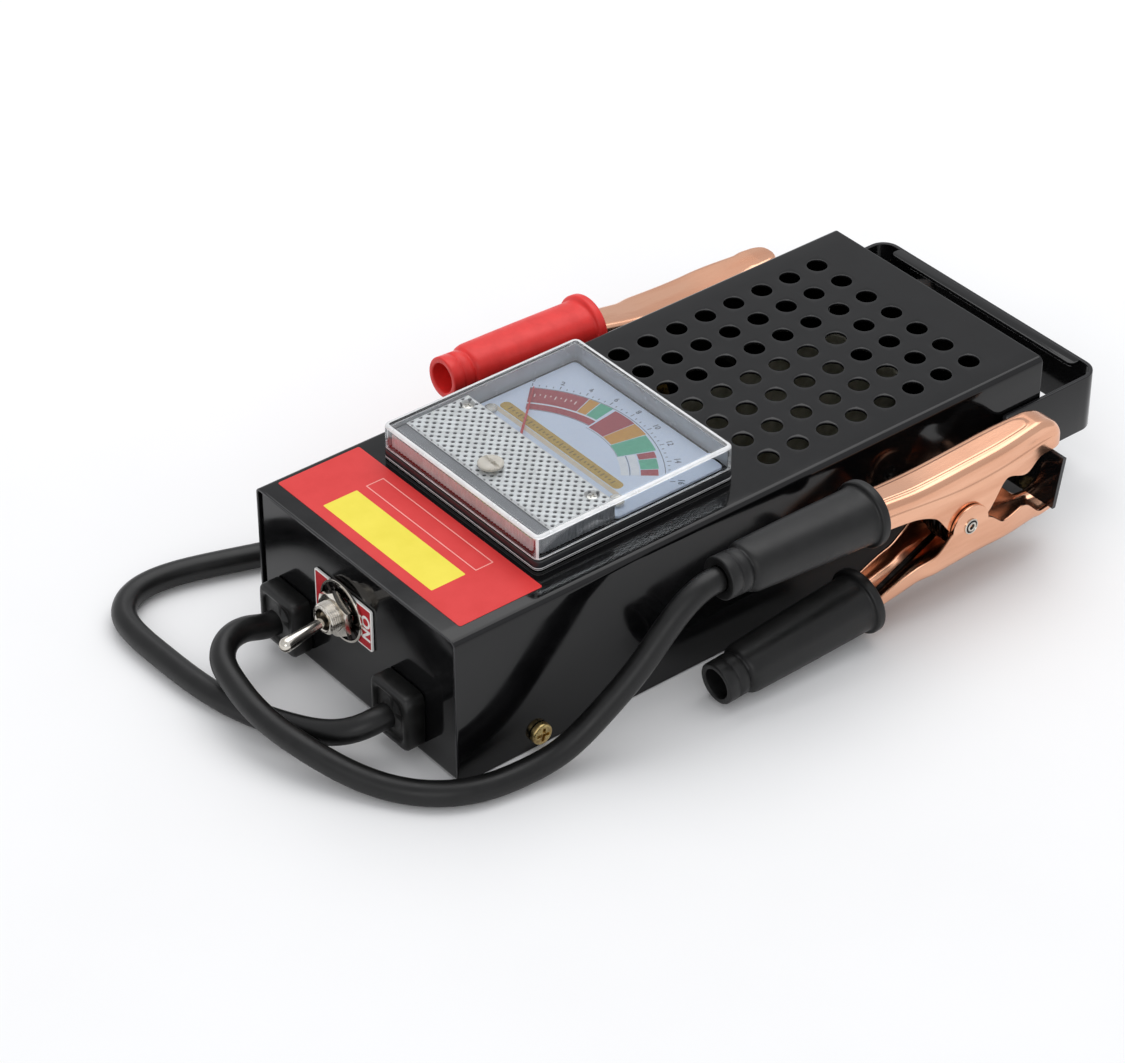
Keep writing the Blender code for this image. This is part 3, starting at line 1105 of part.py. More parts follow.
def make_load():
    """The load inside: a wave of resistance ribbon on ceramic bars, its posts and the wiring."""
    half = (RIBBON_RUNS - 1) / 2
    corners = []
    for run in range(RIBBON_RUNS):
        x = (run - half) * RIBBON_PITCH
        ends = (RIBBON_FRONT_Y, RIBBON_BACK_Y) if run % 2 == 0 else (RIBBON_BACK_Y, RIBBON_FRONT_Y)
        corners += [(x, ends[0]), (x, ends[1])]
    radii = [RIBBON_PITCH * 0.49] * (len(corners) - 2)
    ribbon = strip(corners, radii, RIBBON_THICKNESS, RIBBON_BOTTOM, RIBBON_BOTTOM + RIBBON_HEIGHT, 3)
    new_object("load_ribbon", ribbon, finish("heat_tinted_nichrome", (0.20, 0.19, 0.15), 0.5, 0.9))
    bar_half = HALF_WIDTH + FIT - SCREW_LENGTH - BAR_END_GAP
    bar_inset = RIBBON_PITCH / 2 + BAR_DEPTH
    for name, y in (("front", RIBBON_FRONT_Y + bar_inset), ("rear", RIBBON_BACK_Y - bar_inset)):
        outline = [(y - BAR_DEPTH / 2, FLOOR_TOP + FIT), (y + BAR_DEPTH / 2, FLOOR_TOP + FIT),
                   (y + BAR_DEPTH / 2, BAR_TOP - BAR_DEPTH / 8), (y + BAR_DEPTH * 3 / 8, BAR_TOP),
                   (y - BAR_DEPTH * 3 / 8, BAR_TOP), (y - BAR_DEPTH / 2, BAR_TOP - BAR_DEPTH / 8)]
        new_object("ceramic_bar_" + name, prism(outline, "X", -bar_half, bar_half),
                   finish("steatite", (0.78, 0.74, 0.66), 0.6))
    post_x = half * RIBBON_PITCH + RIBBON_THICKNESS / 2 + FIT + POST_RADIUS
    post_y = RIBBON_FRONT_Y + bar_inset
    for name, side in (("near", 1), ("far", -1)):
        x = side * post_x
        profile = [(POST_RADIUS, BAR_TOP + FIT), (POST_RADIUS, BAR_TOP + POST_HEIGHT * 0.9),
                   (POST_RADIUS * 0.7, BAR_TOP + POST_HEIGHT)]
        post = turned_to(profile, SMALL_SIDES, (0, 0, 1), (x, post_y, 0))
        new_object("terminal_post_" + name, post, brass())
    make_wiring(post_x, post_y)


def make_wiring(post_x, post_y):
    """Inner leads: gland to post, gland to switch, and switch to post."""
    wire = INNER_DIAMETER
    start_y = PANEL_BACK_Y + FIT + GLAND_BARB_LENGTH + FIT
    low = FLOOR_TOP + FIT + 0.9 * wire
    lane = INNER_HALF_WIDTH - SHEET - FIT - 0.9 * wire
    beside = post_x + POST_RADIUS + FIT + wire / 2
    post_z = BAR_TOP + POST_HEIGHT / 2
    before = post_y - 3.2 * wire
    rising = post_z - 2 * wire
    right, left = GLAND_X
    to_post = [(right, start_y, GLAND_HEIGHT), (right, start_y + wire, GLAND_HEIGHT),
               (right + 0.6 * wire, start_y + 2.8 * wire, GLAND_HEIGHT - 0.6 * wire),
               (lane - 0.8 * wire, start_y + 7 * wire, low + 0.4 * wire), (lane, METER_Y, low),
               (lane, METER_Y + 6 * wire, low), (lane, before, rising),
               (beside, post_y - 0.8 * wire, post_z), (beside, post_y + 0.8 * wire, post_z)]
    tip_y = PANEL_BACK_Y + FIT + SWITCH_DEPTH + SWITCH_TERMINAL + FIT + wire / 2
    lower, upper = TOGGLE_HEIGHT - SWITCH_HEIGHT / 4, TOGGLE_HEIGHT + SWITCH_HEIGHT / 4
    to_switch = [(left, start_y, GLAND_HEIGHT), (left, start_y + wire, GLAND_HEIGHT),
                 (left + 0.2 * wire, start_y + 2.6 * wire, GLAND_HEIGHT - 0.2 * wire),
                 (left + 1.6 * wire, tip_y, lower - 2 * wire),
                 (TOGGLE_X - 2 * wire, tip_y, lower - 0.4 * wire),
                 (TOGGLE_X - 0.2 * wire, tip_y, lower), (TOGGLE_X + 0.8 * wire, tip_y, lower)]
    link = [(TOGGLE_X + 0.8 * wire, tip_y, upper), (TOGGLE_X - 0.8 * wire, tip_y, upper),
            (TOGGLE_X - 3.2 * wire, tip_y + 0.8 * wire, upper - 0.6 * wire),
            (-lane + 0.8 * wire, METER_Y - 3.2 * wire, TUB_BOTTOM - 0.8 * wire),
            (-lane, METER_Y + wire, low + 0.8 * wire), (-lane, METER_Y + 6.8 * wire, low + 0.8 * wire),
            (-lane, before, rising), (-beside, post_y - 0.8 * wire, post_z),
            (-beside, post_y + 0.8 * wire, post_z)]
    red = finish("red_pvc", (0.5, 0.02, 0.02), 0.45)
    black = finish("black_pvc", (0.02, 0.02, 0.02), 0.45)
    for name, route, material in (("inner_lead_post", to_post, black), ("inner_lead_switch", to_switch, red),
                                  ("inner_lead_link", link, red)):
        points, _ = smooth_route(route, INNER_STEP * wire)
        tube(name, points, wire, material, 2)


def main():
    for obj in list(bpy.data.objects):
        bpy.data.objects.remove(obj, do_unlink=True)
    make_pan()
    make_cover()
    make_cover_screws()
    make_strap()
    make_clamp("black_clamp", CLAMP_X[0], False, black_rubber())
    make_clamp("red_clamp", CLAMP_X[1], True, red_rubber())
    make_meter()
    make_switch()
    make_glands()
    make_leads()
    make_load()


main()
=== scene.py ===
import json
import math
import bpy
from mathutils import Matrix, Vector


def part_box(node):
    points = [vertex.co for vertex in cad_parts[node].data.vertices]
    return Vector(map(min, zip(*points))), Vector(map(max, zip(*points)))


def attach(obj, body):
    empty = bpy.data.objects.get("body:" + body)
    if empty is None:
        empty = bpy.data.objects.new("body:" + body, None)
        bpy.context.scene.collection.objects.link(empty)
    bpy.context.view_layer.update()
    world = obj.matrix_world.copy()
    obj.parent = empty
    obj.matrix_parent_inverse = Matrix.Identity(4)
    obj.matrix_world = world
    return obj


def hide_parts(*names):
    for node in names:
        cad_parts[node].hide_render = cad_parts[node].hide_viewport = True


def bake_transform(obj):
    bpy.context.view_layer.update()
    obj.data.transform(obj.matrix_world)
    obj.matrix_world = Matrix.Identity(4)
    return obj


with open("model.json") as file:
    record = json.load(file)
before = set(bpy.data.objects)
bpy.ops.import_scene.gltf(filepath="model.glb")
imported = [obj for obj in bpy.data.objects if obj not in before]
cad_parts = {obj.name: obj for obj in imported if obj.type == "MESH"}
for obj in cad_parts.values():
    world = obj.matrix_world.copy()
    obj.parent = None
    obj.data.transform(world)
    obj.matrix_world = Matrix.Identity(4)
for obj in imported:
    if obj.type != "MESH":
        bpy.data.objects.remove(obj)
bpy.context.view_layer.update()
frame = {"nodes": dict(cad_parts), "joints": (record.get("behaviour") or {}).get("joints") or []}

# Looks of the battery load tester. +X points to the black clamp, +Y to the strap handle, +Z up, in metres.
from types import SimpleNamespace

import bmesh
import bpy
import numpy as np
from mathutils import Matrix


def box(node):
    """Low and high corners of a solid's box at rest, to a micrometre."""
    return np.round([tuple(corner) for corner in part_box(node)], 6)


def middle(node):
    """Middle of a solid's box."""
    return box(node).mean(axis=0)


# Sheet metal, the gap between pieces that touch, and the places that the frame gives

MM = 0.001
SHEET = 1 * MM
FOLD = 2.2 * MM
STRAP = 1.5 * MM
FIT = 0.3 * MM
HALF_WIDTH, HALF_LENGTH, TOP = box("top_cover")[1]
PANEL_Y = box("base_pan")[0, 1]
METER_Y = middle("meter_base")[1]
METER_HALF = box("meter_base")[1, 0]
METER_CORNER = 2.5 * MM
TOGGLE = middle("switch_plate")[[0, 2]]
PIVOTS = {joint["name"]: np.array(joint["pos_m"], float) for joint in frame["joints"]}
DIAL_TOP = box("meter_dial")[1, 2]
SCALE_ENDS = (134, 48.5)


# Finishes

def tint(code):
    """Linear colour of an sRGB hex value."""
    parts = np.array([int(code[i:i + 2], 16) for i in (1, 3, 5)]) / 255
    linear = np.where(parts <= 0.04045, parts / 12.92, ((parts + 0.055) / 1.055) ** 2.4)
    return (*linear.tolist(), 1.0)


def add(tree, kind, inputs, **settings):
    """Adds a node with its settings; each input is a value or another node's output."""
    made = tree.nodes.new(kind)
    for key, value in settings.items():
        setattr(made, key, value)
    for key, value in inputs.items():
        if isinstance(value, bpy.types.NodeSocket):
            tree.links.new(value, made.inputs[key])
        else:
            made.inputs[key].default_value = value
    return made


def plain(name, sockets):
    """A Principled material with constants on its shader's sockets."""
    made = bpy.data.materials.new(name)
    made.use_nodes = True
    for key, value in sockets.items():
        made.node_tree.nodes["Principled BSDF"].inputs[key].default_value = value
    return made


def finish(name, colours, sockets, patch, span, rough, grain, depth, stretch=(1, 1, 1)):
    """A plain material with patches and grain: soft patches of one size mix its two colours, over a span of
    their noise, and its two roughnesses; a bump has a finer size and a depth, all in metres. stretch draws
    both patterns out along an axis."""
    made = plain(name, sockets)
    tree = made.node_tree
    shader = tree.nodes["Principled BSDF"]
    where = add(tree, "ShaderNodeTexCoord", {}).outputs["Object"]
    drawn = add(tree, "ShaderNodeMapping", {"Vector": where, "Scale": stretch}).outputs[0]
    noise = {"Vector": drawn, "Scale": 1 / patch, "Detail": 4.0, "Roughness": 0.6}
    patches = add(tree, "ShaderNodeTexNoise", noise).outputs[0]
    share = add(tree, "ShaderNodeMapRange", {"Value": patches, "From Min": span[0], "From Max": span[1]})
    mixed = add(tree, "ShaderNodeMix", {0: share.outputs[0], 6: tint(colours[0]), 7: tint(colours[1])},
                data_type="RGBA")
    gloss = add(tree, "ShaderNodeMapRange", {"Value": patches, "From Min": 0.3, "From Max": 0.7,
                                             "To Min": rough[0], "To Max": rough[1]})
    fine = add(tree, "ShaderNodeTexNoise", {"Vector": drawn, "Scale": 1 / grain, "Detail": 3.0})
    bump = add(tree, "ShaderNodeBump", {"Height": fine.outputs[0], "Strength": 1.0, "Distance": depth})
    tree.links.new(mixed.outputs[2], shader.inputs["Base Color"])
    tree.links.new(gloss.outputs[0], shader.inputs["Roughness"])
    tree.links.new(bump.outputs[0], shader.inputs["Normal"])
    return made


def marked(made, colour, start, most):
    """Mixes a colour into a finish, up to a share, where a piece's edge attribute goes from start to 1."""
    tree = made.node_tree
    base = tree.nodes["Principled BSDF"].inputs["Base Color"]
    edge = add(tree, "ShaderNodeAttribute", {}, attribute_name="edge")
    share = add(tree, "ShaderNodeMapRange", {"Value": edge.outputs["Fac"], "From Min": start, "To Max": most})
    mixed = add(tree, "ShaderNodeMix", {0: share.outputs[0], 6: base.links[0].from_socket, 7: tint(colour)},
                data_type="RGBA")
    tree.links.new(mixed.outputs[2], base)
    return made


def black_enamel():
    """Stoving enamel on sheet steel: deep gloss black with faint orange peel, and a painted highlight in
    paler grey along its edges.
    """
    made = finish("stoved_black_enamel", ("#070708", "#0e0e0f"), {"Specular IOR Level": 0.35}, patch=14 * MM,
                  span=(0.35, 0.75), rough=(0.06, 0.12), grain=1.1 * MM, depth=0.0012 * MM)
    # 47474a is a painted highlight, mixed in along folds, rims and cut edges.
    return marked(made, "#47474a", start=0.35, most=0.3)


def copper():
    """Copper plating on stamped steel: bright pink, with faint drawing lines and darker handled patches."""
    return finish("copper_plating", ("#eeb899", "#cf9070"), {"Metallic": 1.0}, patch=9 * MM,
                  span=(0.42, 0.85), rough=(0.16, 0.28), grain=0.7 * MM, depth=0.002 * MM,
                  stretch=(1.0, 0.12, 1.0))


def nickel():
    """Bright nickel plating: nearly a mirror, a little warm, softly clouded."""
    return finish("bright_nickel", ("#e0dbd2", "#b9b2a6"), {"Metallic": 1.0}, patch=3 * MM, span=(0.4, 0.8),
                  rough=(0.10, 0.24), grain=0.5 * MM, depth=0.004 * MM)


def yellow_zinc():
    """Yellow passivated zinc: gold with greenish and rosy patches."""
    return finish("yellow_passivate", ("#d8c184", "#a98d63"), {"Metallic": 1.0}, patch=1.8 * MM,
                  span=(0.4, 0.65), rough=(0.22, 0.38), grain=0.35 * MM, depth=0.01 * MM)


def brass():
    """Turned brass, dulled by air."""
    return finish("turned_brass", ("#8f743c", "#6a5230"), {"Metallic": 1.0}, patch=4 * MM, span=(0.4, 0.8),
                  rough=(0.25, 0.4), grain=0.4 * MM, depth=0.01 * MM)


def spring_steel():
    """Oil-blackened spring wire, rubbed bright in places."""
    return finish("oiled_spring_steel", ("#1f1c1b", "#46423f"), {"Metallic": 1.0}, patch=2.5 * MM,
                  span=(0.45, 0.8), rough=(0.16, 0.28), grain=0.4 * MM, depth=0.006 * MM)


def rubber(name, colours, rough):
    """Moulded soft vinyl: satin, a little uneven, with the fine grain of its mould."""
    return finish(name, colours, {"Specular IOR Level": 0.4}, patch=7 * MM, span=(0.4, 0.75), rough=rough,
                  grain=0.45 * MM, depth=0.02 * MM)


def nylon():
    """Moulded nylon: dull black with a slight sheen."""
    return finish("moulded_nylon", ("#0e0e0e", "#1b1b1a"), {"Specular IOR Level": 0.45}, patch=5 * MM,
                  span=(0.35, 0.75), rough=(0.30, 0.45), grain=0.3 * MM, depth=0.015 * MM)


def clear_styrene():
    """Crystal styrene: water clear, polished by its mould."""
    return plain("crystal_styrene", {"Base Color": tint("#f7fafc"), "Transmission Weight": 1.0, "IOR": 1.5,
                                     "Roughness": 0.02})


def cloudy_styrene(name, colours, through):
    """Styrene that scatters light: cloudy and softly uneven. It also gives the painted highlight on moulded
    edges and the painted reflection on the window's far walls.
    """
    return finish(name, colours, {"Transmission Weight": through, "IOR": 1.5}, patch=4 * MM,
                  span=(0.35, 0.75), rough=(0.15, 0.3), grain=0.5 * MM, depth=0.002 * MM)


def silvered_styrene():
    """Vacuum-silvered plastic: a bright metal film, with painted shade in the bottoms of its pits."""
    made = finish("silvered_styrene", ("#fdfcfa", "#e6e4e1"), {"Metallic": 0.35}, patch=6 * MM,
                  span=(0.4, 0.8), rough=(0.28, 0.42), grain=0.3 * MM, depth=0.004 * MM)
    # 202022 is painted shade, mixed fully into the bottoms of the knurl's pits.
    return marked(made, "#202022", start=0.0, most=1.0)


def plain_plastic(name, colours, rough=(0.35, 0.5)):
    """Moulded hard plastic with a fine satin grain."""
    return finish(name, colours, {}, patch=8 * MM, span=(0.35, 0.75), rough=rough, grain=0.35 * MM,
                  depth=0.01 * MM)


def printed(name, colours):
    """Screen-printed ink on enamel: flat, faintly uneven in density."""
    return finish(name, colours, {"Specular IOR Level": 0.35}, patch=1.6 * MM, span=(0.35, 0.75),
                  rough=(0.42, 0.58), grain=0.2 * MM, depth=0.004 * MM)


def vinyl_film(name, colours):
    """Printed vinyl film: even colour, satin, with the slight ripple of film laid by hand."""
    return finish(name, colours, {"Specular IOR Level": 0.25}, patch=11 * MM, span=(0.35, 0.75),
                  rough=(0.34, 0.46), grain=5 * MM, depth=0.02 * MM)


def ribbon_alloy():
    """Resistance ribbon browned and greyed by heat."""
    return finish("heat_tinted_ribbon", ("#b9b7a8", "#85826f"), {"Metallic": 0.4}, patch=8 * MM,
                  span=(0.35, 0.7), rough=(0.3, 0.5), grain=0.5 * MM, depth=0.02 * MM)


def stoneware(name, colours):
    """Fired, unglazed or cast surface: dull and slightly pitted."""
    return finish(name, colours, {}, patch=3 * MM, span=(0.35, 0.7), rough=(0.55, 0.75), grain=0.4 * MM,
                  depth=0.04 * MM)


def paper_floor():
    """Seamless pale paper under the tester, very slightly mottled."""
    return finish("studio_paper", ("#fafafa", "#f6f6f6"), {"Specular IOR Level": 0.1}, patch=250 * MM,
                  span=(0.3, 0.7), rough=(0.75, 0.85), grain=1.5 * MM, depth=0.01 * MM)


# Surfaces

def skin(points, around=False, finish_index=0, edge=0.0, keep=None):
    """Quads over a grid of points (rows, columns, 3); around joins the last column to the first. keep is a
    mask of the quads that stay, and edge says how much painted light each point carries: a highlight on
    enamel edges, shade in the bottoms of the knurl's pits."""
    points = np.asarray(points, float)
    rows, columns = points.shape[:2]
    index = np.arange(rows * columns).reshape(rows, columns)
    if around:
        index = np.concatenate([index, index[:, :1]], axis=1)
    quads = np.stack([index[:-1, :-1], index[:-1, 1:], index[1:, 1:], index[1:, :-1]], axis=-1)
    marks = np.broadcast_to(np.asarray(finish_index), quads.shape[:2])
    if keep is not None:
        quads, marks = quads[keep], marks[keep]
    painted_light = np.broadcast_to(np.asarray(edge, float), (rows, columns)).reshape(-1)
    return points.reshape(-1, 3), quads.reshape(-1, 4), marks.reshape(-1), painted_light


def piece(name, skins, finishes, body, stands_for=(), sharp=32.0):
    """One mesh from skins: doubles merged, faces turned outwards, smooth but for edges past a sharp angle."""
    counts = np.cumsum([0] + [len(part[0]) for part in skins])
    points = np.concatenate([part[0] for part in skins])
    quads = np.concatenate([part[1] + start for part, start in zip(skins, counts)])
    mesh = bpy.data.meshes.new(name)
    mesh.from_pydata(points.tolist(), [], quads.tolist())
    mesh.polygons.foreach_set("material_index", np.concatenate([part[2] for part in skins]).astype(np.int32))
    painted_light = mesh.attributes.new("edge", "FLOAT", "POINT")
    painted_light.data.foreach_set("value", np.concatenate([part[3] for part in skins]).astype(np.float32))
    work = bmesh.new()
    work.from_mesh(mesh)
    bmesh.ops.remove_doubles(work, verts=work.verts, dist=0.002 * MM)
    bmesh.ops.dissolve_degenerate(work, dist=0.0005 * MM, edges=work.edges)
    bmesh.ops.recalc_face_normals(work, faces=work.faces)
    work.to_mesh(mesh)
    work.free()
    mesh.shade_smooth()
    mesh.set_sharp_from_angle(angle=math.radians(sharp))
    return place(name, mesh, finishes, body, stands_for)


def place(name, mesh, finishes, body, stands_for=()):
    """Links a mesh as a piece that rides on a body, where it has one, and stands for its solids."""
    for each in finishes:
        mesh.materials.append(each)
    made = bpy.data.objects.new(name, mesh)
    bpy.context.scene.collection.objects.link(made)
    if body:
        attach(made, body)
    if stands_for:
        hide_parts(*stands_for)
    return made


def round_angles(sides):
    """Even steps round a circle."""
    return np.linspace(0.0, 2 * np.pi, sides, endpoint=False)


def rounding(centre, radius, start, stop, steps):
    """Points of an arc between two angles in degrees, for profiles."""
    angle = np.radians(np.linspace(start, stop, steps + 1))
    return np.stack([centre[0] + radius * np.cos(angle), centre[1] + radius * np.sin(angle)], axis=1)


def turned(profile, origin, axis, sides=64):
    """Grid of a profile of (radius, height) rows turned about an axis."""
    axis = np.array(axis, float)
    first = np.cross((0.0, 0.0, 1.0) if abs(axis[2]) < 0.9 else (1.0, 0.0, 0.0), axis)
    first /= np.linalg.norm(first)
    second = np.cross(axis, first)
    angle = round_angles(sides)[:, None]
    ring = np.cos(angle) * first + np.sin(angle) * second
    radius, height = np.asarray(profile, float).T
    return np.array(origin) + height[:, None, None] * axis + radius[:, None, None] * ring


def rounded_rows(half_width, half_length, radius, height, centre=(0.0, 0.0), steps=8):
    """Grid whose rows are rounded rectangles: each has its half sizes, corner radius and height."""
    half_width, half_length, radius, height = (np.atleast_1d(v).astype(float)[:, None] for v in
                                               np.broadcast_arrays(half_width, half_length, radius, height))
    quarter = np.linspace(0.0, np.pi / 2, steps + 1)
    angle = np.concatenate([quarter + k * np.pi / 2 for k in range(4)])
    right = np.repeat((1, -1, -1, 1), steps + 1)
    back = np.repeat((1, 1, -1, -1), steps + 1)
    x = centre[0] + right * (half_width - radius) + radius * np.cos(angle)
    y = centre[1] + back * (half_length - radius) + radius * np.sin(angle)
    return np.stack([x, y, np.broadcast_to(height, x.shape)], axis=-1)


def slab(half_width, half_length, radius, inset, height, centre=(0.0, 0.0), steps=8):
    """Grid of one rounded rectangle stacked in rows, each drawn in by its inset at its height."""
    sizes = (np.clip(size - inset, 0.0, None) for size in (half_width, half_length, radius))
    return rounded_rows(*sizes, height, centre, steps)


def plate(half_width, half_length, radius, low, high, centre=(0.0, 0.0), bevel=0.05 * MM, steps=4):
    """Grid of a flat plate with rounded corners: underside, rim, bevelled edge and face, both faces closed at
    the middle, with a ring just inside the bevel that keeps the face flat."""
    inset = np.array([0, 2, 0, 0, 1, 3, 0]) * bevel
    inset[[0, -1]] = max(half_width, half_length)
    height = np.array([low, low, low, high - bevel, high, high, high])
    return slab(half_width, half_length, radius, inset, height, centre, steps)


def squared_ellipse(half_width, half_height, power, angle):
    """Across and up of an ellipse that grows squarer as its power, 2 for a plain one, goes up."""
    across, up = np.cos(angle), np.sin(angle)
    return (half_width * np.sign(across) * abs(across) ** (2 / power),
            half_height * np.sign(up) * abs(up) ** (2 / power))


def tube_rows(points, radius, axis, sides):
    """Grid of circles carried along a path, each square to it, whose first points lean towards an axis."""
    along = np.gradient(points, axis=0)
    along /= np.linalg.norm(along, axis=1)[:, None]
    first = np.array(axis) - along * (along @ np.array(axis))[:, None]
    first /= np.linalg.norm(first, axis=1)[:, None]
    second = np.cross(along, first)
    angle = round_angles(sides)[None, :, None]
    return points[:, None] + radius * (np.cos(angle) * first[:, None] + np.sin(angle) * second[:, None])


def closed_ends(rows):
    """The same rows with both ends drawn in to their middles."""
    first = np.broadcast_to(rows[0].mean(axis=0), rows[0].shape)
    last = np.broadcast_to(rows[-1].mean(axis=0), rows[-1].shape)
    return np.concatenate([first[None], rows, last[None]])


def smooth(low, high, value):
    """Rises from 0 to 1 between two values, level at both ends."""
    share = np.clip((value - low) / (high - low), 0.0, 1.0)
    return share * share * (3 - 2 * share)


def fall(share):
    """How far a quarter circle of radius 1 has fallen away at a share of its radius."""
    return 1 - np.sqrt(1 - np.clip(share, 0.0, 1.0) ** 2)


def eased(points, at):
    """Heights of a line that eases, level at each point, from point to point."""
    marks, heights = np.array(points, float).T
    i = np.clip(np.searchsorted(marks, at, side="right") - 1, 0, len(marks) - 2)
    return heights[i] + (heights[i + 1] - heights[i]) * smooth(marks[i], marks[i + 1], at)


def flowing(points, at):
    """Heights of a smooth line through points: cubics between them, level only at its peaks and dips."""
    marks, heights = np.array(points, float).T
    rises = np.diff(heights) / np.diff(marks)
    before, after = rises[:-1], rises[1:]
    same = before * after > 0
    inner = np.where(same, 2 * before * after / np.where(same, before + after, 1.0), 0.0)
    slopes = np.concatenate([rises[:1], inner, rises[-1:]])
    i = np.clip(np.searchsorted(marks, at, side="right") - 1, 0, len(marks) - 2)
    reach = marks[i + 1] - marks[i]
    share = np.clip((at - marks[i]) / reach, 0.0, 1.0)
    lean = slopes[i] * (1 - share) - slopes[i + 1] * share
    ease = share * share * (3 - 2 * share)
    return heights[i] + (heights[i + 1] - heights[i]) * ease + share * (1 - share) * reach * lean


# Case

def folded(outer, inner, lines, ends):
    """A folded sheet as a grid: each point of the profile across it is carried out over the outer face, round
    one rounded end, back over the inner face and round the other. Gives (profile, loop, 3) with the carrying
    axis last, the loop's painted highlight near its cut edges, and the caps of the profile's two ends."""
    count, cut, highlight_reach = len(lines), 0.29, 0.45 * MM
    radius = lines[0] - ends[0]
    share = radius / np.linalg.norm(outer[0] - inner[0])
    turn = np.array([cut * share, share, 1 - share, 1 - cut * share])
    short = np.array([cut, 0.0, 0.0, cut]) * radius
    t = np.concatenate([np.zeros(count), turn, np.ones(count), turn[::-1]])
    y = np.concatenate([lines, ends[1] - short, lines[::-1], ends[0] + short])
    flat = outer[:, None] * (1 - t)[:, None] + inner[:, None] * t[:, None]
    grid = np.concatenate([flat, np.broadcast_to(y[:, None], flat.shape[:2] + (1,))], axis=2)
    caps = []
    for row in grid[[0, -1]]:
        caps.append(np.stack([row[:count], row[count + 4:2 * count + 4][::-1]]))
        caps.append(np.stack([row[[count - 1, count, count + 1]], row[[count + 4, count + 3, count + 2]]]))
        caps.append(np.stack([row[[0, -1, -2]], row[[2 * count + 3, 2 * count + 4, 2 * count + 5]]]))
    # Painted highlight along the sheet's two cut edges, fading within half a millimetre.
    cut_edge_highlight = np.exp(-np.minimum(y - ends[0], ends[1] - y) / highlight_reach)
    return grid, cut_edge_highlight, caps


def vent(pitch, steps):
    """One vent as a grid of rings about its middle: the square cell on top, drawn in to a hole that is
    rounded over at its rim, run through the sheet and opened out to the cell underneath. Gives the grid and
    the painted highlight round its rim."""
    hole, rim = 3.6 * MM, 0.3 * MM
    along = np.linspace(-0.5, 0.5, steps + 1)[:-1] * pitch
    half = np.full(steps, pitch / 2)
    sides = ((along, -half), (half, along), (-along, half), (-half, -along))
    square = np.concatenate([np.stack(side, axis=1) for side in sides])
    ray = square / np.linalg.norm(square, axis=1)[:, None]
    rings = [(square, TOP), ((square + ray * (hole + rim)) / 2, TOP)]
    rings += [(ray * radius, height) for radius, height in
              rounding((hole + rim, TOP - rim), rim, 90, 180, 4)]
    rings += [(ray * hole, TOP - 0.8 * SHEET), (ray * (hole + 0.2 * SHEET), TOP - SHEET)]
    rings += [(square, TOP - SHEET)]
    grid = np.stack([np.column_stack([ring, np.full(len(ring), height)]) for ring, height in rings])
    # The second array is a painted highlight, strongest on the rounded rim.
    return grid, np.array([0, 0, 0.2, 0.6, 0.8, 0.6, 0.4, 0.2, 0, 0])[:, None]


def cover(enamel):
    """The cover: sides, folds and top carried along the case, but for the square cells the vents fill."""
    pitch, columns, rows, steps = 12.6 * MM, 7, 8, 8
    rise_steps, arc_steps = 10, 8
    rear = HALF_LENGTH - 14.3 * MM
    front = rear - rows * pitch
    across = np.linspace(-columns / 2, columns / 2, columns * steps + 1) * pitch

    def profile(inset):
        """Side, fold, top, fold and side across the case, drawn in by an inset."""
        rise = np.linspace(FIT, TOP - FOLD, rise_steps, endpoint=False)
        side = np.stack([np.full(rise_steps, inset - HALF_WIDTH), rise], axis=1)
        arc = rounding((FOLD - HALF_WIDTH, TOP - FOLD), FOLD - inset, 180, 90, arc_steps)
        flat = np.stack([across, np.full(len(across), TOP - inset)], axis=1)
        return np.concatenate([side, arc, flat, arc[::-1] * (-1, 1), side[::-1] * (-1, 1)])
    near = np.array([0.25, 0.7, 1.6, 4.0]) * MM
    lines = np.concatenate([near - HALF_LENGTH, np.linspace(10 * MM - HALF_LENGTH, front, 12)[:-1],
                            np.linspace(front, rear, rows * steps + 1), HALF_LENGTH - near[::-1]])
    grid, cut_edge_highlight, caps = folded(profile(0.0), profile(SHEET), lines, (-HALF_LENGTH, HALF_LENGTH))
    left = rise_steps + arc_steps + 1
    first = int(np.argmin(abs(lines - front)))
    back = 2 * len(lines) + 3 - first
    keep = np.ones((len(grid) - 1, grid.shape[1]), bool)
    keep[left:left + columns * steps, first:first + rows * steps] = False
    keep[left:left + columns * steps, back - rows * steps:back] = False
    bend = np.zeros(len(grid))
    bend[rise_steps:left] = np.sin(np.linspace(0.0, np.pi, arc_steps + 1))
    bend += bend[::-1]
    # Painted highlight: paler in the middle of each fold and along the cut edges of the sheet.
    painted_light = np.maximum(0.55 * bend[:, None], cut_edge_highlight)
    upright = [0, 2, 1]
    skins = [skin(grid[..., upright], True, 0, painted_light, keep)] + [skin(cap[..., upright]) for cap in caps]
    shape, rim_highlight = vent(pitch, steps)
    for row in range(rows):
        for column in range(columns):
            spot = ((column - (columns - 1) / 2) * pitch, rear - (row + 0.5) * pitch, 0.0)
            skins.append(skin(shape + spot, True, 0, rim_highlight))
    piece("cover_shell", skins, [enamel], "case", ["top_cover"])


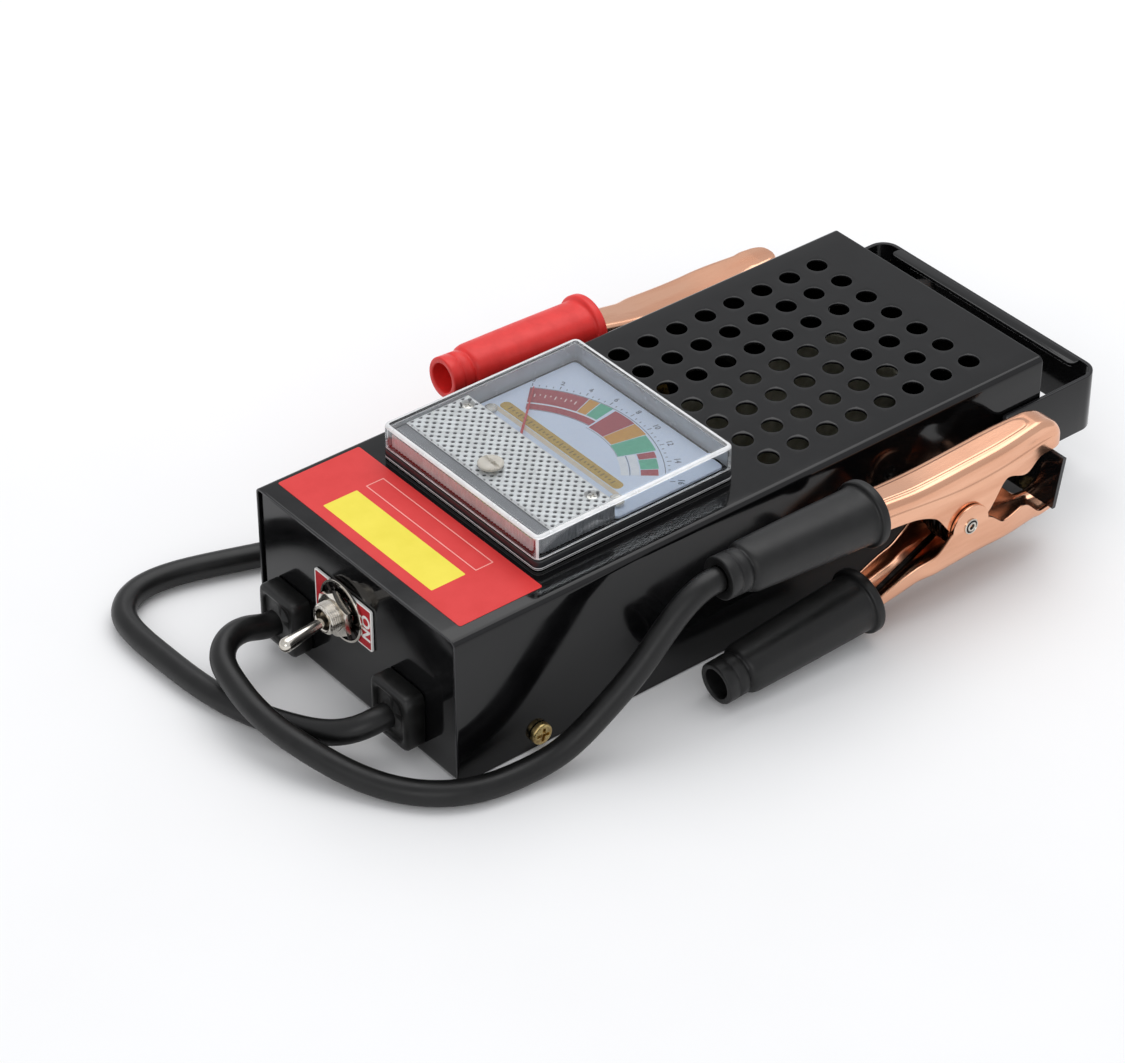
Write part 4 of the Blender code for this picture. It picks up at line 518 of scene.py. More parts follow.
def pan(enamel):
    """The pan: front panel, floor and rear panel in one folded profile carried across the case, and the two
    turned-up edges along its sides."""
    high, side = TOP - SHEET - 0.5 * MM, HALF_WIDTH - SHEET - 0.6 * MM
    drop_steps = 10

    def profile(inset):
        """Front panel, fold, floor, fold and rear panel along the case, drawn in by an inset."""
        drop = np.linspace(high, FOLD, drop_steps, endpoint=False)
        panel = np.stack([np.full(drop_steps, PANEL_Y + inset), drop], axis=1)
        arc = rounding((PANEL_Y + FOLD, FOLD), FOLD - inset, 180, 270, 8)
        return np.concatenate([panel, arc, arc[::-1] * (-1, 1), panel[::-1] * (-1, 1)])
    near = np.array([0.25, 0.8, 3.0]) * MM
    lines = np.concatenate([near - side, np.linspace(-40, 40, 9) * MM, side - near[::-1]])
    grid, cut_edge_highlight, caps = folded(profile(0.0), profile(SHEET), lines, (-side, side))
    sideways = [2, 0, 1]
    skins = [skin(grid[..., sideways], True, 0, cut_edge_highlight)] + [skin(cap[..., sideways]) for cap in caps]
    inset = np.array([0.5, 0.1, 0.0, 0.0, 0.1, 0.5]) * SHEET
    rise = np.array([0.4, 0.4, 0.6, 11.8, 12.0, 12.0]) * MM
    edge_x = HALF_WIDTH - SHEET - 0.35 * MM - SHEET / 2
    for way in (-1, 1):
        edge = slab(SHEET / 2, 115 * MM, 0.3 * MM, inset, rise, (way * edge_x, 0.0), 3)
        skins.append(skin(edge, True))
    piece("pan_shell", skins, [enamel], "case", ["base_pan"])


def cross_head(radius, height, arm, half_arm, depth, sides=96):
    """Profile grid of a pan head with a cross recess: rings grow from the middle to the cross's outline at
    the recess floor, rise to the surface, then follow the dome to the rim. Gives (rows, sides) of radius and
    height and the directions."""
    crown, shoulder, sunk = 0.12, 0.88, 0.06 * MM
    angle = round_angles(sides)
    c, s = np.maximum(abs(np.cos(angle)), 1e-6), np.maximum(abs(np.sin(angle)), 1e-6)
    outline = np.maximum(np.minimum(arm / c, half_arm / s), np.minimum(arm / s, half_arm / c))[None]
    floor, floor_depth = np.array([(0.0, 1.0), (0.4, 1.0), (0.75, 1.0), (0.93, 0.95)]).T[..., None]
    dome = outline + np.array([0.05, 0.3, 0.6, 0.85])[:, None] * (shoulder * radius - outline)
    rim, rim_height = np.array([(shoulder, 0.90), (0.96, 0.78), (1.0, 0.55), (1.0, 0.0)]).T[..., None]
    even = np.ones((1, sides))
    radii = [floor * outline, outline, dome, rim * radius * even]
    heights = [height - floor_depth * depth * even, height - sunk - crown * height * (outline / radius) ** 2,
               height * (1 - crown * (dome / radius) ** 2), rim_height * height * even]
    return np.concatenate(radii), np.concatenate(heights), angle


def cover_screws(zinc):
    """Four pan-head screws along the case's lower sides, each turned a little differently."""
    head, core = 3.8 * MM, 1.9 * MM
    radius, height, angle = cross_head(head, 2.2 * MM, 2.5 * MM, 0.62 * MM, 1.3 * MM)
    for name in ("front_near", "front_far", "rear_near", "rear_far"):
        spot = middle("cover_screw_" + name)
        side, end = np.sign(spot[:2])
        seat = (side * (HALF_WIDTH + FIT), spot[1], spot[2])
        turn = angle + 0.35 * end + 0.2 * side
        grid = np.stack([seat[0] + side * height, seat[1] + radius * np.cos(turn),
                         seat[2] + radius * np.sin(turn)], axis=-1)
        shank = turned([(core, 0.0), (core, -6.2 * MM), (0.0, -6.6 * MM)], seat, (side, 0, 0), 24)
        base = turned([(head, 0.0), (core, 0.0)], seat, (side, 0, 0), 96)
        piece("pan_head_" + name, [skin(grid, True), skin(shank, True), skin(base, True)], [zinc], "case",
              ["cover_screw_" + name], 40.0)


def strap_path(reach, leg, ear, rear, round_off):
    """The strap's middle line in plan, from the near ear round the rear to the far one."""
    bend, corner, back = 2.5 * MM, 6 * MM, 44 * MM
    leg_run = (ear + 6 * MM, rear - 9.25 * MM)
    out = reach - round_off * (1 - np.cos(np.linspace(0, np.pi / 2, 10)))
    half = np.concatenate([np.stack([out, np.full(10, ear)], axis=1),
                           rounding((leg + bend, ear + bend), bend, 270, 180, 8),
                           np.stack([np.full(8, leg), np.linspace(*leg_run, 8)], axis=1),
                           rounding((leg - corner, rear - corner), corner, 0, 90, 10)])
    behind = np.stack([np.linspace(back, -back, 12), np.full(12, rear)], axis=1)
    return np.concatenate([half, behind, half[::-1] * (-1, 1)])


def strap(enamel):
    """The strap handle: a strip's rounded section carried along its path in plan, which bends out into the
    ears, and the lip turned in along the top at the rear. The near ear's end leans in towards its foot, and
    the far ear's upper corner is rounded off."""
    low, high = box("strap_handle")
    reach, ear, rear = high[0], low[1] + STRAP / 2, high[1] - STRAP / 2
    mid, half_height = (low[2] + high[2]) / 2, (high[2] - low[2]) / 2
    round_off, lean, lean_reach, highlight_band = 6.5 * MM, 3 * MM, 12 * MM, 0.7 * MM
    path = strap_path(reach, HALF_WIDTH + FIT + STRAP / 2, ear, rear, round_off)
    along = np.gradient(path, axis=0)
    along /= np.linalg.norm(along, axis=1)[:, None]
    normal = np.stack([-along[:, 1], along[:, 0]], axis=1)
    ring = rounded_rows(STRAP / 2, half_height, 0.35 * MM, 0.0, (0.0, mid), 3)[0]
    plan = path[:, None] + normal[:, None] * ring[:, :1]
    rows = np.concatenate([plan, np.broadcast_to(ring[:, 1:2], plan.shape[:2] + (1,))], axis=2)
    share = (ring[:, 1] - low[2]) / (2 * half_height)
    rows[..., 0] -= smooth(reach - lean_reach, reach, rows[..., 0]) * lean * (1 - share)
    rows[..., 2] -= share * round_off * fall(1 - (reach + rows[..., 0]) / round_off)
    cores = rows[[0, -1]].copy()
    cores[..., 1] = ear
    rows = np.concatenate([cores[:1], rows, cores[1:]])
    # Painted highlight along the strip's rounded long edges and on the cut ends of the ears.
    corner = np.maximum(abs(ring[:, 1] - mid) - (half_height - highlight_band), 0) / highlight_band
    painted_light = np.broadcast_to(corner * 0.8, rows.shape[:2]).copy()
    painted_light[:2] = painted_light[-2:] = 0.9
    inset = np.array([45.05, 0.4, 0.05, 0.0, 0.0, 0.2, 45.05]) * MM
    drop = np.array([0.02, 0.02, 0.1, 0.4, 1.2, 1.5, 1.5]) * MM
    lip = slab(45.05 * MM, 2.5 * MM, 2 * MM, inset, high[2] - drop, (0.0, rear - 2.35 * MM), 6)
    # Painted highlight along the lip's rounded edge.
    rim_highlight = np.array([0, 0.3, 0.7, 0.5, 0.2, 0.2, 0])[:, None]
    piece("strap_strip", [skin(rows, True, 0, painted_light), skin(lip, True, 0, rim_highlight)], [enamel], "case",
          ["strap_handle"])


def strap_rivets(enamel):
    """Two rivets through each leg of the strap: a domed head, the shank and its closed end."""
    shank, closed, grip_depth, end = 1.6 * MM, 2.5 * MM, -3.3 * MM, -4.3 * MM
    dome = rounding((0.0, -3.2 * MM), 4.3 * MM, 75, 48, 5)
    profile = np.concatenate([[(0.0, 1.1 * MM)], dome, [(3.1 * MM, 0.0), (shank, 0.0), (shank, grip_depth),
                                                        (closed, grip_depth), (closed, end), (0.0, end)]])
    for name in ("near_low", "near_high", "far_low", "far_high"):
        x, y, z = middle("strap_rivet_" + name)
        side = np.sign(x)
        seat = (side * (HALF_WIDTH + STRAP + 2 * FIT), y, z)
        rows = turned(profile, seat, (side, 0, 0), 40)
        piece("rivet_" + name, [skin(rows, True, 0, 0.25)], [enamel], "case", ["strap_rivet_" + name])


def label(red, yellow, line):
    """The label: a film of vinyl on the cover with a yellow panel and a thin plain frame printed on it."""
    low, ink = TOP + 0.02 * MM, 0.03 * MM
    face = low + 0.12 * MM
    film_at, panel_at, frame_at = np.array([(-1.4, -100.6), (-1.7, -105.9), (-1.5, -92.3)]) * MM
    film_half, panel_half, frame_half = np.array([(47.6, 16.0), (28.3, 6.6), (28.6, 3.5)]) * MM
    film = plate(*film_half, 0.8 * MM, low, face, film_at, 0.04 * MM)
    piece("label_film", [skin(film, True)], [red], "case")
    panel = plate(*panel_half, 0.4 * MM, face, face + ink, panel_at, 0.01 * MM)
    piece("label_panel", [skin(panel, True)], [yellow], "case")
    inset = np.array([0, 0, 1, 1, 0]) * 0.4 * MM
    rise = np.array([0, 1, 1, 0, 0]) * ink
    border = rounded_rows(frame_half[0] - inset, frame_half[1] - inset, 0.3 * MM, face + rise, frame_at, 3)
    piece("label_frame", [skin(border, True)], [line], "case")


# Clamps: each half lies along Y from its tail to its nose, with heights above the pin's axis
# BITE is the height at which the jaws close, and FREE the half that swings

CLAMP_WAYS = {"black_clamp": 1, "red_clamp": -1}
TAIL = -38 * MM
LUG = 7.8 * MM
NOSE = 44.5 * MM
NOSE_ROUND = 12 * MM
BITE = 11.3 * MM
WALL = 1.2 * MM
COLLAR_END = 62.5 * MM
LEAD = SimpleNamespace(rise=18 * MM, tilt=math.radians(2.7), tail=(-4.6 * MM, 4.6 * MM), back=21.4 * MM,
                       sill=8.6 * MM, eye=10.4 * MM, tooth=7.5 * MM, jaw=12.2 * MM, lug_width=7.5 * MM,
                       crease=0.4 * MM, panel=0.45 * MM)
FREE = SimpleNamespace(rise=16.5 * MM, tilt=math.radians(4.0), tail=(-3 * MM, 2 * MM), back=13.2 * MM,
                       sill=6.2 * MM, eye=5 * MM, tooth=3.8 * MM, jaw=3 * MM, lug_width=9 * MM,
                       crease=0.0, panel=0.0)


def handle_at(share):
    """Place along a handle, from its tail to the lugs."""
    return TAIL - share * (LUG + TAIL)


def mouth_at(share):
    """Place along a jaw, from the lugs to where the nose starts to round."""
    return LUG + share * (NOSE - NOSE_ROUND - LUG)


def lead_lines():
    """Back, handle edge and mouth edge of the lead half, as (along, height) points."""
    low, high = LEAD.rise + LEAD.tail[0], LEAD.rise + LEAD.tail[1]
    back = [(TAIL, high), (handle_at(0.66), LEAD.back), (LUG / 2, LEAD.back + WALL / 2),
            (mouth_at(1.02), BITE + LEAD.jaw)]
    edge = [(TAIL, low), (handle_at(0.43), low - WALL), (handle_at(0.76), LEAD.sill), (-LUG, 0.0)]
    mouth = [(LUG, 0.0), (mouth_at(0.39), LEAD.eye), (mouth_at(0.76), LEAD.tooth), (mouth_at(1.06), BITE)]
    return back, edge, mouth


def free_lines():
    """Back, handle edge and mouth edge of the free half, as (along, height) points."""
    low, high = FREE.rise + FREE.tail[0], FREE.rise + FREE.tail[1]
    back = [(TAIL, high), (handle_at(0.86), FREE.back + 0.7 * WALL), (LUG, FREE.back),
            (mouth_at(0.7), FREE.back + WALL / 2), (mouth_at(1.18), BITE + FREE.jaw)]
    edge = [(TAIL, low), (handle_at(0.41), 1.45 * FREE.sill), (handle_at(0.76), FREE.sill), (-LUG, 0.0)]
    mouth = [(LUG, 0.0), (mouth_at(0.33), FREE.eye), (mouth_at(0.7), FREE.tooth), (mouth_at(1.14), BITE)]
    return back, edge, mouth


def clamp_outline(half):
    """Stations along a stamped half and, at each, the heights of its back and its edge, its half width and
    how far into the rounded nose it is, from 0 to 1."""
    in_grip, tip_round, tip_narrow = 8 * MM, 5.5 * MM, 3.2 * MM
    back_line, edge_line, mouth_line = lead_lines() if half is LEAD else free_lines()
    widths = [(TAIL, 7 * MM), (handle_at(0.53), 7.5 * MM), (handle_at(0.83), half.lug_width),
              (mouth_at(0.17), half.lug_width), (NOSE, 5.6 * MM)]
    s = np.concatenate([np.linspace(TAIL - in_grip, TAIL, 5), np.linspace(TAIL + 1 * MM, -LUG - 0.6 * MM, 40),
                        -LUG * np.cos(np.linspace(0, np.pi, 37)),
                        np.linspace(LUG + 0.6 * MM, NOSE - NOSE_ROUND, 36),
                        NOSE - NOSE_ROUND * np.cos(np.linspace(0.05, 0.5, 34) * np.pi)])
    axis = half.rise + (TAIL - s) * math.tan(half.tilt)
    back = np.where(s < TAIL, axis + half.tail[1], flowing(back_line, s))
    edge = np.where(s <= -LUG, flowing(edge_line, s), eased(mouth_line, s))
    edge = np.where(s < TAIL, axis + half.tail[0], edge)
    edge = np.where(abs(s) < LUG, -np.sqrt(np.maximum(LUG ** 2 - s ** 2, 0.0)), edge)
    into = np.clip((s - NOSE + NOSE_ROUND) / NOSE_ROUND, 0.0, 1.0)
    back = back - (half.jaw - 2 * WALL) * fall(into)
    width = eased(widths, s) - tip_narrow * fall((s - NOSE + tip_round) / tip_round)
    return s, back, edge, width, into


def clamp_back(half, s, back, flat):
    """One side of a half's flat back, from its shoulder to near the middle, as (across, height) at each
    station. A panel is raised on it between the handle and its own rounded end."""
    end, end_round, soft = 31 * MM, 4 * MM, 0.35 * MM
    across = flat[:, None] * np.array([0.97, 0.9, 0.82, 0.74, 0.66, 0.5, 0.25])
    past = np.clip((s - end + end_round) / end_round, 0.0, 1.2)[:, None]
    reach = 0.82 * flat[:, None] * np.sqrt(np.clip(1 - past ** 2, 0.0, 1.0))
    raised = (1 - smooth(reach - soft, reach + soft, across)) * (past < 1.0)
    raised *= smooth(TAIL - 2 * MM, TAIL + 4 * MM, s)[:, None]
    return np.stack([-across, back[:, None] + half.panel * raised], axis=-1)


def clamp_half(half):
    """A stamped half as a grid over (along, section), in its own frame with the pin at the origin, and the
    caps of its ends. The section runs up one wall, which steps in above a crease, over the rounded back and
    down the other wall, then returns along the inside."""
    s, back, edge, width, into = clamp_outline(half)
    foot_round, crease_rise = 0.25 * MM, 0.5 * MM
    corner = np.minimum(np.minimum(2.8 * MM, 0.7 * width), 0.6 * (back - edge))
    shoulder = back - corner
    step = half.crease * (1 - into)
    crease = eased([(TAIL, 18 * MM), (0.0, 14.9 * MM), (36 * MM, 16.6 * MM)], s)
    crease = np.maximum(np.minimum(crease, shoulder - 0.9 * MM), edge + 0.3 * (shoulder - edge))
    levels = [edge + foot_round] + [edge + share * (crease - edge) for share in (0.3, 0.6, 0.85, 1.0)]
    levels += [crease + crease_rise / 2, crease + crease_rise, (crease + crease_rise + shoulder) / 2]
    levels = np.maximum.accumulate(np.stack(levels, axis=1), axis=1)
    inset = step[:, None] * smooth(0.0, crease_rise, levels - crease[:, None])
    walls = np.stack([inset - width[:, None], levels], axis=-1)
    bend = np.linspace(np.pi, np.pi / 2, 8)
    drawn = width - step
    arc = np.stack([corner[:, None] * (1 + np.cos(bend)) - drawn[:, None],
                    shoulder[:, None] + corner[:, None] * np.sin(bend)], axis=-1)
    top = clamp_back(half, s, back, drawn - corner)
    left = np.concatenate([walls, arc, top], axis=1)
    crown = top[:, -1:] * (0.0, 1.0)
    inner, roof = width - WALL, back - WALL
    inside = [edge + foot_round, (edge + roof) / 2, roof - 1.2 * MM, roof - 0.4 * MM, roof, roof]
    inside = np.maximum.accumulate(np.stack(inside, axis=1), axis=1)
    offset = np.stack([inner, inner, inner, inner - 0.3 * MM, inner - 1.2 * MM, 0.4 * inner], axis=1)
    hollow = np.stack([offset, inside], axis=-1)
    foot = np.stack([np.stack([width - share * WALL, edge], axis=-1) for share in (0.3, 0.7)], axis=1)
    mirror = (-1, 1)
    section = np.concatenate([left, crown, left[:, ::-1] * mirror, foot, hollow, hollow[:, ::-1] * mirror,
                              foot[:, ::-1] * mirror], axis=1)
    along = np.broadcast_to(s[:, None], section.shape[:2])
    grid = np.stack([section[..., 0], along, section[..., 1]], axis=-1)
    return [grid] + clamp_ends(grid, 2 * left.shape[1])


def clamp_ends(grid, last):
    """Caps of a stamped half's two ends, between its outer face, up to its last column, and its inside."""
    outer, inner = grid[:, :last + 1], grid[:, last + 3:-2][:, ::-1]
    pick = np.linspace(0, inner.shape[1] - 1, outer.shape[1]).round().astype(int)
    caps = []
    for k in (0, -1):
        caps.append(np.stack([outer[k], inner[k][pick]]))
        caps.append(grid[k][[[last, last + 1], [last + 3, last + 2]]])
        caps.append(grid[k][[[0, -1], [-3, -2]]])
    return caps


def stood(points, clamp, side=1):
    """Puts points of a clamp's own frame in place; the red clamp is turned over."""
    way = CLAMP_WAYS[clamp]
    return PIVOTS[clamp + "_hinge"] + points * np.array((way, 1.0, way * side))


def grip(half):
    """A moulded grip as a grid: squared ellipses whose half sizes follow a profile along the tilted axis:
    flange with rounded rims, hollowed neck, tapering body, shoulder, grooved collar and its mouth. Rows are
    half width, half height and distance back in millimetres, and the ellipse's power."""
    wide, tall, collar, neck, groove, rim = 9.8, 9.2, 7.3, 6.9, 6.95, 1.0
    flange = np.array((11.8, 11.2))
    rows = [(0.0, 0.0, 0.3, 2.0), (*flange * 0.8, 0.3, 2.0), (*flange - rim, 0.3, 2.0)]
    for place_back, start, stop in ((1.3, 180, 90), (2.7, 90, 10)):
        rows += [(*flange + r, back, 2.0) for back, r in rounding((place_back, -rim), rim, start, stop, 5)]
    rows += [(wide + flare, tall + flare, back, power) for flare, back, power in
             ((0.6, 3.8, 2.1), (0.15, 4.25, 2.2), (0.0, 5.0, 2.3))]
    for share in np.linspace(0.06, 0.95, 16):
        shrink = 1 - 0.14 * share + 0.012 * math.sin(math.pi * share)
        rows.append((wide * shrink, tall * shrink, 4 + 49 * share, 2.3))
    rows += [(8.3, 7.85, 51.6, 2.25), (8.1, 7.7, 52.3, 2.2), (7.75, 7.5, 52.8, 2.1), (7.3, 7.2, 53.1, 2.0)]
    rings = [(53.4, neck), (53.9, neck), (54.3, collar), (57.4, collar), (57.7, groove), (58.1, groove),
             (58.4, collar), (61.0, collar), *rounding((61.9, collar - 0.6), 0.6, 90, 0, 4)]
    if half is FREE:
        rings += [*rounding((62.0, 5.7), 0.5, 0, -90, 3), (60.0, 5.15), (54.0, 5.1), (54.0, 0.0)]
    else:
        rings += [(62.5, 4.75), (62.1, 4.35), (60.0, 4.3), (60.0, 0.0)]
    rows += [(radius, radius, back, 2.0) for back, radius in rings]
    half_width, half_height, back, power = np.array(rows).T[..., None]
    x, h = squared_ellipse(half_width * MM, half_height * MM, power, round_angles(80))
    along = TAIL - back * MM * math.cos(half.tilt) + h * math.sin(half.tilt)
    up = half.rise + back * MM * math.sin(half.tilt) + h * math.cos(half.tilt)
    return np.stack([x, along, up], axis=-1)


def clamp_spring():
    """A torsion spring as a tube: whole turns of a helix round the pin, with legs straight along its tangents
    to the middles of the two handles' insides."""
    radius, turns, room, between = 7.8 * MM, 3, 11.4 * MM, 0.55 * MM
    leg_s, leg_x = TAIL + 4 * MM, 1.5 * MM
    wire = (room - (turns + 0.45) * between) / (turns + 1.45)
    under = 1.5 * MM + wire * 0.62
    heights = [float(flowing(lines[0], np.array(leg_s))) - under for lines in (lead_lines(), free_lines())]
    tangents = [math.atan2(h, leg_s) - math.acos(radius / math.hypot(leg_s, h)) for h in heights]
    share = np.linspace(0.0, 1.0, 28 * turns + 12)
    angle = tangents[0] - (sum(tangents) + 2 * math.pi * turns) * share
    coil = np.stack([(room - wire) * (0.5 - share), radius * np.cos(angle), radius * np.sin(angle)], axis=1)
    out = np.array([1.0, 0.8, 0.6, 0.4, 0.25, 0.12, 0.04])[:, None]
    first = coil[0] + out * (np.array([-leg_x, leg_s, heights[0]]) - coil[0])
    last = coil[-1] + out[::-1] * (np.array([leg_x, leg_s, -heights[1]]) - coil[-1])
    return closed_ends(tube_rows(np.concatenate([first, coil, last]), wire / 2, (1.0, 0.0, 0.0), 14))


def clamp_pin(name, bright, pin_shade):
    """The hollow pin: a shank with a rolled rim at each end, with painted shade in its bore and its groove.
    """
    rim = np.array([(0.0, 8.0), (0.9, 8.0), (1.0, 9.4), (1.15, 9.7), (1.45, 9.75), (1.7, 9.6), (1.8, 9.3),
                    (2.25, 9.25), (2.4, 9.5), (2.6, 9.55), (2.8, 9.35), (2.8, 9.0), (2.3, 9.0)]) * MM
    # The bore and the groove take the painted shade.
    sunk = np.array([1, 1, 0, 0, 0, 1, 1, 0, 0, 0, 0, 0])[:, None]
    pivot = PIVOTS[name + "_hinge"]
    shank = rim[-1] * np.array([(1, -1), (1, 1)])
    skins = [skin(turned(rim, pivot, (way, 0, 0), 40), True, sunk) for way in (-1, 1)]
    skins.append(skin(turned(shank, pivot, (1, 0, 0), 40), True))
    piece(name + "_rivet", skins, [bright, pin_shade], "case", [name + "_pin"], 40.0)


def clamps(plating, sleeves, steel, bright, pin_shade):
    """Both clamps: two stamped halves, two grips, spring and hollow pin each. The spring's coil stands at its
    pin and rides on no body."""
    halves = (("lead", 1, clamp_half(LEAD), grip(LEAD)), ("free", -1, clamp_half(FREE), grip(FREE)))
    coil = clamp_spring()
    for name, (soft, soft_slot) in sleeves.items():
        for word, side, grids, sleeve in halves:
            body = name + "_free" if word == "free" else "case"
            skins = [skin(stood(grid, name, side), i == 0) for i, grid in enumerate(grids)]
            piece(f"{name}_{word}_stamping", skins, [plating], body, [f"{name}_{word}_half"],
                  40.0)
            piece(f"{name}_{word}_sleeve", [skin(stood(sleeve, name, side), True)], [soft], body,
                  [f"{name}_{word}_grip"], 50.0)
        wound = piece(name + "_coil", [skin(stood(coil, name), True)], [steel], None, [name + "_spring"])
        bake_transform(wound)
        clamp_pin(name, bright, pin_shade)


# Meter

def bezel(smoke, moulded_edge_highlight):
    """The bezel and its tub: rounded rectangles stacked in rows, closed at the middle, over a turned cup.
    Moulded edges, where rows turn from one face to the next, carry a painted highlight in cloudy white
    styrene."""
    low, seat, reach = box("meter_base")[0, 2], TOP + FIT, 30 * MM
    inset = np.array([0, 1.0, 0.4, 0.1, 0, 0, 0, 0, 0, 0.15, 0.5, 1.5, 0]) * MM
    inset[[0, -1]] = METER_HALF
    rise = np.array([0, 0, 0, 0.1, 0.4, 0.7, 1.1, 1.4, 3.1, 3.5, 3.6, 3.6, 3.6]) * MM
    rows = slab(METER_HALF, METER_HALF, METER_CORNER, inset, seat + rise, (0.0, METER_Y))
    # marks pick the bands of painted highlight.
    marks = np.array([0, 0, 1, 1, 0, 1, 0, 0, 0, 0, 0, 0])[:, None]
    cup = [(0.0, low), (reach - 1.5 * MM, low), (reach - 0.4 * MM, low + 0.4 * MM), (reach, low + 1.4 * MM),
           (reach, seat), (reach - 2.5 * MM, seat)]
    tub = turned(cup, (0, METER_Y, 0), (0, 0, 1), 72)
    piece("meter_bezel", [skin(rows, True, marks), skin(tub, True)], [smoke, moulded_edge_highlight], "case", ["meter_base"])


def window(clear, moulded_edge_highlight, far_wall_reflection):
    """The clear window, flush with the bezel: an outer and an inner skin of rounded rectangles in rows. Its
    moulded edges and corners carry a painted highlight in cloudy white styrene, and the inner faces of the
    two walls away from the switch and the black clamp a painted reflection in cloudy grey styrene."""
    half, low, corner_points = METER_HALF - 0.15 * MM, box("meter_window")[0, 2], 9
    inset = np.array([1.2, 0.25, 0, 0, 0, 0.12, 0.4, 0.8, 1.4, 0]) * MM
    rise = np.array([0, 0, 0.3, 0.6, 8.0, 8.4, 8.7, 8.8, 8.8, 8.8]) * MM
    inner_inset = np.array([1.2, 1.6, 1.6, 1.75, 2.3, 3.0, 0]) * MM
    inner_rise = np.array([0, 0.3, 6.4, 7.0, 7.2, 7.2, 7.2]) * MM
    inset[-1] = inner_inset[-1] = half
    rows, under = (slab(half, half, METER_CORNER, drawn, low + lift, (0.0, METER_Y), corner_points - 1)
                   for drawn, lift in ((inset, rise), (inner_inset, inner_rise)))
    columns = np.arange(rows.shape[1])
    # marks pick the bands and corners of painted highlight.
    marks = np.zeros((len(rows) - 1, len(columns)), int)
    marks[[0, 1, 2, 4, 5, 6, 7]] = 1
    marks[3] = np.isin(columns % corner_points, (3, 4))
    # walls picks the inner faces of the two far walls for the painted reflection.
    walls = np.zeros((len(under) - 1, len(columns)), int)
    walls[1:3] = np.where((columns > corner_points // 2) & (columns < 2.5 * corner_points - 0.5), 2, 0)
    piece("meter_cover", [skin(rows, True, marks), skin(under, True, walls)], [clear, moulded_edge_highlight, far_wall_reflection], "case",
          ["meter_window"], 40.0)


def knurl(columns, lines, top, screws):
    """Height field of pits on a diagonal lattice, with painted shade at their bottoms, level along its
    border, with a round pocket for each screw."""
    pit_x, pit_y, pit_depth, proud, pocket_depth = 3.43 * MM, 3.38 * MM, 0.6 * MM, 0.5 * MM, 1 * MM
    x, y = np.meshgrid(columns, lines)
    u, v = x / pit_x + y / pit_y, x / pit_x - y / pit_y
    gap = np.hypot(u - np.round(u), v - np.round(v))
    inside = np.minimum(np.minimum(x - columns[0], columns[-1] - x), np.minimum(y - lines[0], lines[-1] - y))
    border = smooth(0.0, 0.7 * MM, inside)
    z = top + (proud - pit_depth * (1 - smooth(0.12, 0.40, gap))) * border
    for spot in screws:
        pocket = 1 - smooth(2.1 * MM, 2.5 * MM, np.hypot(x - spot[0], y - spot[1]))
        z += (top - pocket_depth - z) * pocket
    # The edge values mark the painted shade in the bottoms of the pits.
    return skin(np.stack([x, y, z], axis=-1), edge=(1 - smooth(0.20, 0.32, gap)) * border)


def apron(silver, grey, bright):
    """The apron: a knurled field, a plain strip in front of it, skirts round its edges with fine upright
    ribs, and the heads of its two screws."""
    low_corner, high_corner = box("meter_apron")
    half, front, rear = high_corner[0] - 0.2 * MM, low_corner[1], high_corner[1] - 0.2 * MM
    top, low, screw_seat = high_corner[2] - 0.5 * MM, box("meter_window")[0, 2] + 0.4 * MM, 0.95 * MM
    under, field = top - 1.5 * MM, front + 4.7 * MM
    screws = np.array([(-32.5, -53.0), (31.0, -53.0)]) * MM
    columns = np.linspace(-half, half, 400)
    ends = np.linspace(front + 0.1 * MM, rear, 160)
    skins = [knurl(columns, np.linspace(field, rear, 140), top, screws)]

    def rib(places):
        """How far a skirt is drawn in along its ribs: a cosine wave."""
        return 0.12 * MM * (1 + np.cos(2 * np.pi * places / (1.5 * MM)))
    profile = [(field, top), (field - 0.1 * MM, top - 0.45 * MM), (front + 0.5 * MM, top - 0.45 * MM),
               (front + 0.1 * MM, top - 0.7 * MM), (front, top - 1.1 * MM), (front, low),
               (front + 0.8 * MM, low), (front + 0.8 * MM, under), (rear, under), (rear, top)]
    bar = np.stack([np.stack([columns, np.full(400, y), np.full(400, z)], axis=1) for y, z in profile])
    bar[4:6, :, 1] += rib(columns)
    skins.append(skin(bar, False, np.array([1, 1, 1, 1, 0, 1, 1, 1, 1])[:, None]))
    profile = [(half, top), (half + 0.15 * MM, top - 0.2 * MM), (half + 0.2 * MM, top - 0.6 * MM),
               (half + 0.2 * MM, low), (half - 0.6 * MM, low), (half - 0.6 * MM, under)]
    skirt = np.stack([np.stack([np.full(160, x), ends, np.full(160, z)], axis=1) for x, z in profile])
    skirt[2:4, :, 0] -= rib(ends)
    skins += [skin(skirt * (side, 1, 1), False, 1) for side in (-1, 1)]
    radius, height, angle = cross_head(1.9 * MM, 0.9 * MM, 1.2 * MM, 0.28 * MM, 0.5 * MM, 64)
    turn = angle + 0.4
    for x, y in screws:
        head = [x + radius * np.cos(turn), y + radius * np.sin(turn), top - screw_seat + height]
        skins.append(skin(np.stack(head, axis=-1), True, 2))
    piece("meter_knurl", skins, [silver, grey, bright], "case", ["meter_apron"], 25.0)


def sector(inner, outer, start, stop, low, high):
    """Skins of a thin plate of a ring about the pointer's axis, from radii and angles in millimetres and
    degrees: a closed loop of underside, rims and top carried round, and a cap at each end."""
    degrees_apart = 1.5
    count = max(3, int(abs(stop - start) / degrees_apart) + 2)
    angle = np.radians(np.linspace(start, stop, count))
    pivot = PIVOTS["pointer_swing"]
    loop = [(inner, low), (inner, high), (outer, high), (outer, low), (inner, low)]
    rows = np.stack([np.stack([pivot[0] + radius * MM * np.cos(angle), pivot[1] + radius * MM * np.sin(angle),
                               np.full(len(angle), z)], axis=1) for radius, z in loop])
    return [skin(rows)] + [skin(np.stack([rows[[0, 3], k], rows[[1, 2], k]])) for k in (0, -1)]


